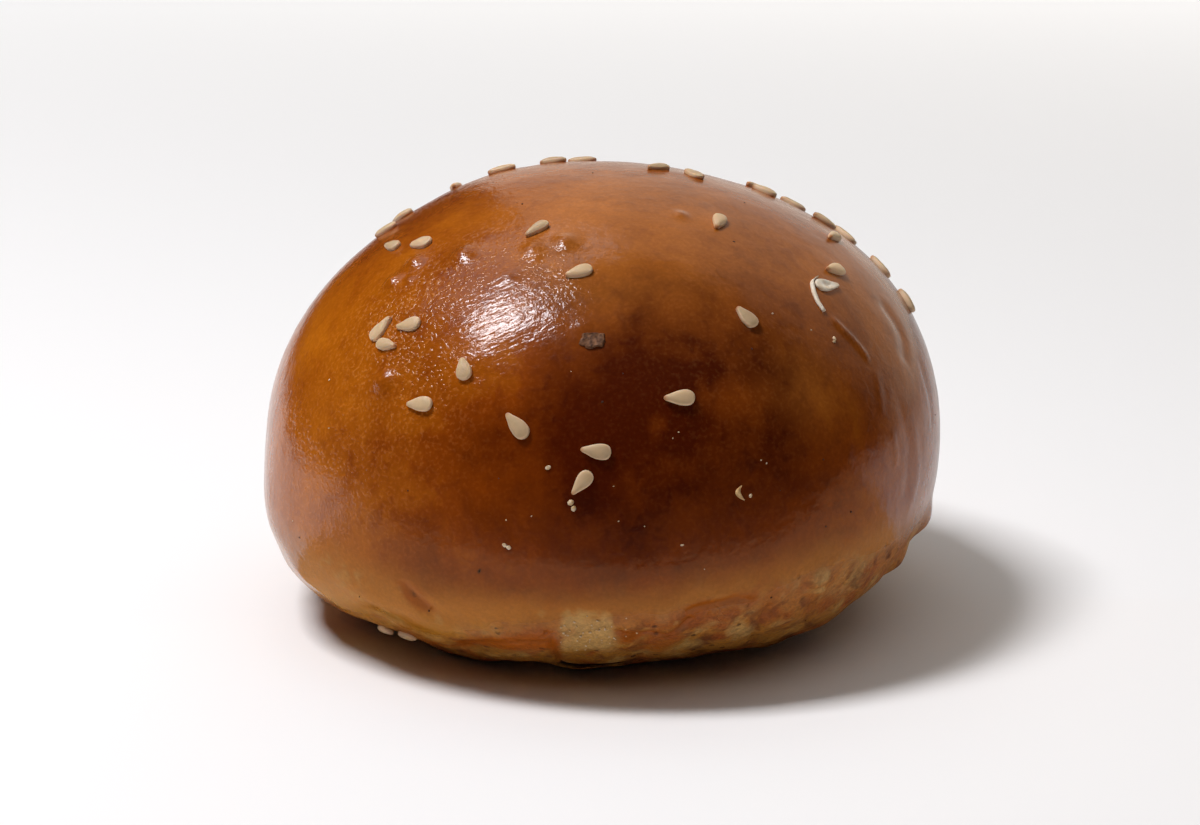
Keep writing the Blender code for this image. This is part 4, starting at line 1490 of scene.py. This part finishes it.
class BUN_OT_husk(bpy.types.Operator):
    """Lay down the broken seed: its open hull and the sliver of husk peeled off it"""

    bl_idname = "bun.husk"
    bl_label = "Lay the husk"

    def execute(self, context):
        sizes = context.scene.bun_sizes
        around, rise, heading, breadth = NEAR_SEEDS[BROKEN_SEED][:4]
        hull = seed_pattern()
        for corner in hull.vertices:
            reach = min(math.hypot(corner.co.x, corner.co.y), 1.0)
            if corner.co.z > 0:
                corner.co.z *= HULL_RIM - HULL_HOLLOW * (1 - reach) ** HULL_STEEPNESS
        halves = (HULL_STRETCH * sizes.seed_length / 2, HULL_STRETCH * breadth * sizes.seed_width / 2,
                  sizes.seed_thickness / 2, 1)
        hull.transform(Matrix.Diagonal(halves))
        hull.transform(standing_frame(around, rise, heading + HULL_TURN, SEED_LIFT))
        line = between(HUSK_PLACES, HUSK_RINGS)
        frames = [standing_frame(a, r, -90, HUSK_LIFT) for a, r in line]
        radii = [HUSK_RADIUS * (1 - HUSK_THINNING * step / (HUSK_RINGS - 1)) for step in range(HUSK_RINGS)]
        sliver = tube_along("sliver", frames, radii, HUSK_FLATNESS)
        sculpt = bmesh.new()
        sculpt.from_mesh(hull)
        sculpt.from_mesh(sliver)
        bmesh.ops.recalc_face_normals(sculpt, faces=sculpt.faces)
        mesh = bpy.data.meshes.new("husk")
        sculpt.to_mesh(mesh)
        sculpt.free()
        mesh.shade_smooth()
        mesh.materials.append(dry_material("dry sesame husk"))
        hand_over(place_object("husk", mesh))
        return {"FINISHED"}


class BUN_OT_flake(bpy.types.Operator):
    """Stick the burnt flake to the crust"""

    bl_idname = "bun.flake"
    bl_label = "Stick the flake"

    def execute(self, context):
        angle = np.linspace(0, 2 * math.pi, FLAKE_CORNERS, endpoint=False)
        x, y = (np.sign(part) * np.abs(part) ** (2 / FLAKE_SQUARENESS)
                for part in (np.cos(angle), np.sin(angle)))
        raggedness, rag_size, rag_spot = FLAKE_RAGS
        bumpiness, bump_size, bump_spot = FLAKE_BUMPS
        rings = []
        for reach, rise in FLAKE_LEVELS:
            corners = np.stack((x * reach, y * reach * FLAKE_NARROWING, np.zeros(FLAKE_CORNERS)), -1)
            ragged = 1 + raggedness * noise_at(corners + rag_spot, rag_size)
            bumps = bumpiness * noise_at(corners + bump_spot, bump_size)
            ring = corners * ragged[:, None] * FLAKE_RADIUS
            ring[:, 2] = (rise + (bumps if rise > 0 else 0)) * FLAKE_THICKNESS / 2
            rings.append(ring)
        mesh = closed_mesh("flake", (0, 0, -FLAKE_THICKNESS / 2), rings, (0, 0, FLAKE_MIDDLE))
        mesh.transform(standing_frame(*FLAKE_PLACE, 0, FLAKE_LIFT))
        mesh.materials.append(dry_material("burnt flake"))
        hand_over(place_object("flake", mesh))
        return {"FINISHED"}


def nub_pattern():
    """A small faceted nub of unit half-sizes."""
    sculpt = bmesh.new()
    bmesh.ops.create_icosphere(sculpt, subdivisions=2, radius=1)
    mesh = bpy.data.meshes.new("nub pattern")
    sculpt.to_mesh(mesh)
    sculpt.free()
    return mesh


def patch_grains():
    """Grains that stuck to the pale patch, each as its place, axes and half-sizes."""
    around, rise, wide, high, count, seed = PATCH_GRAINS
    draw = random.Random(seed)
    grains = []
    for grain in range(count):
        spot = (draw.gauss(around, wide / 2), draw.gauss(rise, high / 2))
        axes = standing_axes(*spot, draw.uniform(-180, 180), 0)
        half = draw.uniform(*GRAIN_HALVES) * MM
        grains.append((*axes, (GRAIN_STRETCH * half, half, GRAIN_FLATNESS * half)))
    return grains


def dust_specks(count, seed, smallest, largest):
    """Specks of dust all over the crust, each as its place, axes and half-sizes."""
    draw = random.Random(seed)
    lowest = math.sin(math.radians(DUST_LOWEST))
    specks = []
    for speck in range(count):
        around = draw.uniform(-180, 180)
        rise = math.degrees(math.asin(draw.uniform(lowest, 1)))
        half = draw.uniform(smallest, largest) / 2
        axes = standing_axes(around, rise, draw.uniform(-180, 180), DUST_LIFT * half)
        specks.append((*axes, (half * draw.uniform(*DUST_STRETCH), half, DUST_FLATNESS * half)))
    return specks


class BUN_OT_crumbs(bpy.types.Operator):
    """Scatter the crumbs, the curled shred and the dust that cling to the glaze"""

    bl_idname = "bun.crumbs"
    bl_label = "Scatter the crumbs"

    def execute(self, context):
        crumbs = []
        for around, rise, heading, length, breadth, thickness in CRUMBS:
            halves = (length / 2, breadth / 2, thickness / 2)
            crumbs.append((*standing_axes(around, rise, heading, CRUMB_LIFT * thickness), halves))
        crumbs += patch_grains()
        for name, dust, lying, finish, slot in (
                ("pale_crumbs", "pale", crumbs, "dry crumb", "crumb"),
                ("scorched_crumbs", "scorched", [], "scorched crumb", "burnt")):
            strewn = lying + dust_specks(*DUST[dust])
            tree = strewing_tree("strew " + dust + " crumbs", dry_material(finish))
            piece = strew(name, strewn, nub_pattern(), tree, {
                "Size": 1.0, "Lump size": CRUMB_LUMP_SIZE, "Lump height": CRUMB_LUMP_HEIGHT,
                "Seed": float(DUST[dust][1])})
            hand_over(piece)
        line = between(CURL_PLACES, CURL_RINGS)
        frames = [standing_frame(a, r, -90, CURL_LIFT) for a, r in line]
        steps = CURL_RINGS - 1 + 2 * CURL_BLUNTNESS
        radii = [CURL_RADIUS * math.sin(math.pi * (step + CURL_BLUNTNESS) / steps)
                 for step in range(CURL_RINGS)]
        curl = tube_along("curl", frames, radii, CURL_FLATNESS)
        curl.materials.append(dry_material("curled shred"))
        hand_over(place_object("curl", curl))
        return {"FINISHED"}


def stand_camera(scene):
    """Stand the camera where the picture was taken from."""
    lens = bpy.data.cameras.new("camera")
    lens.lens = CAMERA_LENS
    lens.sensor_width = SENSOR_WIDTH
    lens.clip_start = NEAREST_SEEN
    behind = Vector(TO_CAMERA)
    camera = bpy.data.objects.new("camera", lens)
    camera.matrix_world = Matrix.LocRotScale(CAMERA_AIM + behind * CAMERA_DISTANCE,
                                             (-behind).to_track_quat("-Z", "Y"), None)
    scene.collection.objects.link(camera)
    scene.camera = camera


def fade_light(lamp, out_at, full_at, floor_gain, gain_height):
    """Let a lamp fade out towards +X and glow more near the floor."""
    lamp.use_nodes = True
    tree = lamp.node_tree
    tree.nodes.clear()
    place = add(tree, "ShaderNodeNewGeometry").outputs["Position"]
    place = add(tree, "ShaderNodeSeparateXYZ", {}, {0: place}).outputs
    gain = add(tree, "ShaderNodeMapRange", SOFT_STEP, {
        "Value": place["Z"], "From Min": gain_height, "From Max": 0.0, "To Min": 1.0,
        "To Max": floor_gain}).outputs["Result"]
    strength = add(tree, "ShaderNodeMapRange", SOFT_STEP, {
        "Value": place["X"], "From Min": out_at, "From Max": full_at, "To Max": gain}).outputs["Result"]
    glow = add(tree, "ShaderNodeEmission", {}, {"Strength": strength}).outputs["Emission"]
    add(tree, "ShaderNodeOutputLight", {}, {"Surface": glow})


def hang_light(scene, name, centre, back, side, width, height, radiance, fan, colour, mirrored):
    """Hang one softbox or card, which the camera doesn't see."""
    lamp = bpy.data.lights.new(name, "AREA")
    lamp.shape = "RECTANGLE"
    lamp.size = width
    lamp.size_y = height
    lamp.energy = radiance * math.pi * width * height
    lamp.spread = math.radians(fan)
    lamp.color = linear(colour)[:3]
    if name in FADING_LIGHTS:
        fade_light(lamp, *FADING_LIGHTS[name])
    back = Vector(back).normalized()
    side = Vector(side)
    side = (side - back * side.dot(back)).normalized()
    turn = Matrix((side, back.cross(side), back)).transposed()
    light = bpy.data.objects.new(name, lamp)
    light.matrix_world = Matrix.LocRotScale(Vector(centre), turn, None)
    light.visible_camera = False
    light.visible_glossy = mirrored
    scene.collection.objects.link(light)


def lay_flat(name, corners, height):
    """Lay a flat stage piece over the ground."""
    mesh = bpy.data.meshes.new(name)
    mesh.from_pydata([(x, y, height) for x, y in corners], [], [tuple(range(len(corners)))])
    return place_object(name, mesh)


def lay_floor():
    """Lay the pale floor: matt white board, lit evenly all over."""
    half = FLOOR_SIZE / 2
    floor = lay_flat("floor", ((-half, -half), (half, -half), (half, half), (-half, half)), 0)
    board, tree, shader = start_material("matt white board")
    shader.inputs["Base Color"].default_value = linear(FLOOR_COLOUR)
    shader.inputs["Roughness"].default_value = FLOOR_ROUGHNESS
    spot = add(tree, "ShaderNodeTexCoord").outputs["Object"]
    away = add(tree, "ShaderNodeVectorMath", {"operation": "LENGTH"}, {0: spot}).outputs["Value"]
    glow = add(tree, "ShaderNodeMapRange", SOFT_STEP, {
        "Value": away, "From Min": FLOOR_GLOW_START, "From Max": FLOOR_GLOW_FULL}).outputs["Result"]
    seen = add(tree, "ShaderNodeLightPath").outputs["Is Camera Ray"]
    glow = add(tree, "ShaderNodeMath", TIMES, {0: glow, 1: seen}).outputs[0]
    shader.inputs["Emission Color"].default_value = (1, 1, 1, 1)
    tree.links.new(glow, shader.inputs["Emission Strength"])
    floor.data.materials.append(board)


def lay_sheet(name, corners, height, colour):
    """Lay a cloth or card that only the glaze mirrors: matt, and thinning out sideways where it should."""
    sheet = lay_flat(name, corners, height)
    finish, tree, shader = start_material(name)
    shader.inputs["Base Color"].default_value = linear(colour)
    shader.inputs["Roughness"].default_value = 1.0
    if name in FADING_SHEETS:
        gone_at, whole_at = FADING_SHEETS[name]
        spot = add(tree, "ShaderNodeTexCoord").outputs["Object"]
        spot = add(tree, "ShaderNodeSeparateXYZ", {}, {0: spot}).outputs
        bearing = add(tree, "ShaderNodeMath", {"operation": "ARCTAN2"}, {0: spot["Y"], 1: spot["X"]})
        cover = add(tree, "ShaderNodeMapRange", SOFT_STEP, {
            "Value": bearing.outputs[0], "From Min": math.radians(gone_at),
            "From Max": math.radians(whole_at)}).outputs["Result"]
        tree.links.new(cover, shader.inputs["Alpha"])
    sheet.data.materials.append(finish)
    sheet.visible_camera = False
    sheet.visible_diffuse = False
    sheet.visible_shadow = False


def light_room(scene):
    """Put the stage in a white room, which shines only faintly on the bun."""
    world = bpy.data.worlds.new("white room")
    world.use_nodes = True
    tree = world.node_tree
    tree.nodes.clear()
    seen = add(tree, "ShaderNodeLightPath").outputs["Is Camera Ray"]
    strength = add(tree, "ShaderNodeMapRange", {}, {
        "Value": seen, "To Min": ROOM_GLOW, "To Max": 1.0}).outputs["Result"]
    glow = add(tree, "ShaderNodeBackground", {}, {"Strength": strength, "Color": (1, 1, 1, 1)})
    add(tree, "ShaderNodeOutputWorld", {}, {"Surface": glow.outputs["Background"]})
    scene.world = world


class BUN_OT_stage(bpy.types.Operator):
    """Set up the camera, the pale floor and the studio light"""

    bl_idname = "bun.stage"
    bl_label = "Set the stage"

    def execute(self, context):
        stand_camera(context.scene)
        for name, settings in LIGHTS.items():
            hang_light(context.scene, name, *settings)
        lay_floor()
        for name, (corners, height, colour) in MIRRORED_SHEETS.items():
            lay_sheet(name, corners, height, colour)
        light_room(context.scene)
        context.scene.view_settings.view_transform = "Standard"
        return {"FINISHED"}


OPERATORS = (BUN_OT_crust, BUN_OT_seeds, BUN_OT_husk, BUN_OT_flake, BUN_OT_crumbs, BUN_OT_stage)


class BUN_PT_panel(bpy.types.Panel):
    """The bun's sizes, colours and pieces"""

    bl_idname = "BUN_PT_panel"
    bl_label = "Sesame burger bun"
    bl_space_type = "VIEW_3D"
    bl_region_type = "UI"
    bl_category = "Bun"

    def draw(self, context):
        for group in (context.scene.bun_sizes, context.scene.bun_colours):
            for name in group.__annotations__:
                self.layout.prop(group, name)
        for operator in OPERATORS:
            self.layout.operator(operator.bl_idname)


CLASSES = (BunSizes, BunColours) + OPERATORS + (BUN_PT_panel,)


def register():
    """Register the classes and hang the sizes and colours on the scene."""
    for made in CLASSES:
        bpy.utils.register_class(made)
    bpy.types.Scene.bun_sizes = bpy.props.PointerProperty(type=BunSizes)
    bpy.types.Scene.bun_colours = bpy.props.PointerProperty(type=BunColours)


def unregister():
    """Take the sizes, colours and classes away again."""
    del bpy.types.Scene.bun_sizes
    del bpy.types.Scene.bun_colours
    for made in reversed(CLASSES):
        bpy.utils.unregister_class(made)


def main():
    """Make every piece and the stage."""
    register()
    bpy.ops.bun.crust()
    bpy.ops.bun.seeds()
    bpy.ops.bun.husk()
    bpy.ops.bun.flake()
    bpy.ops.bun.crumbs()
    bpy.ops.bun.stage()


if __name__ == "__main__":
    main()
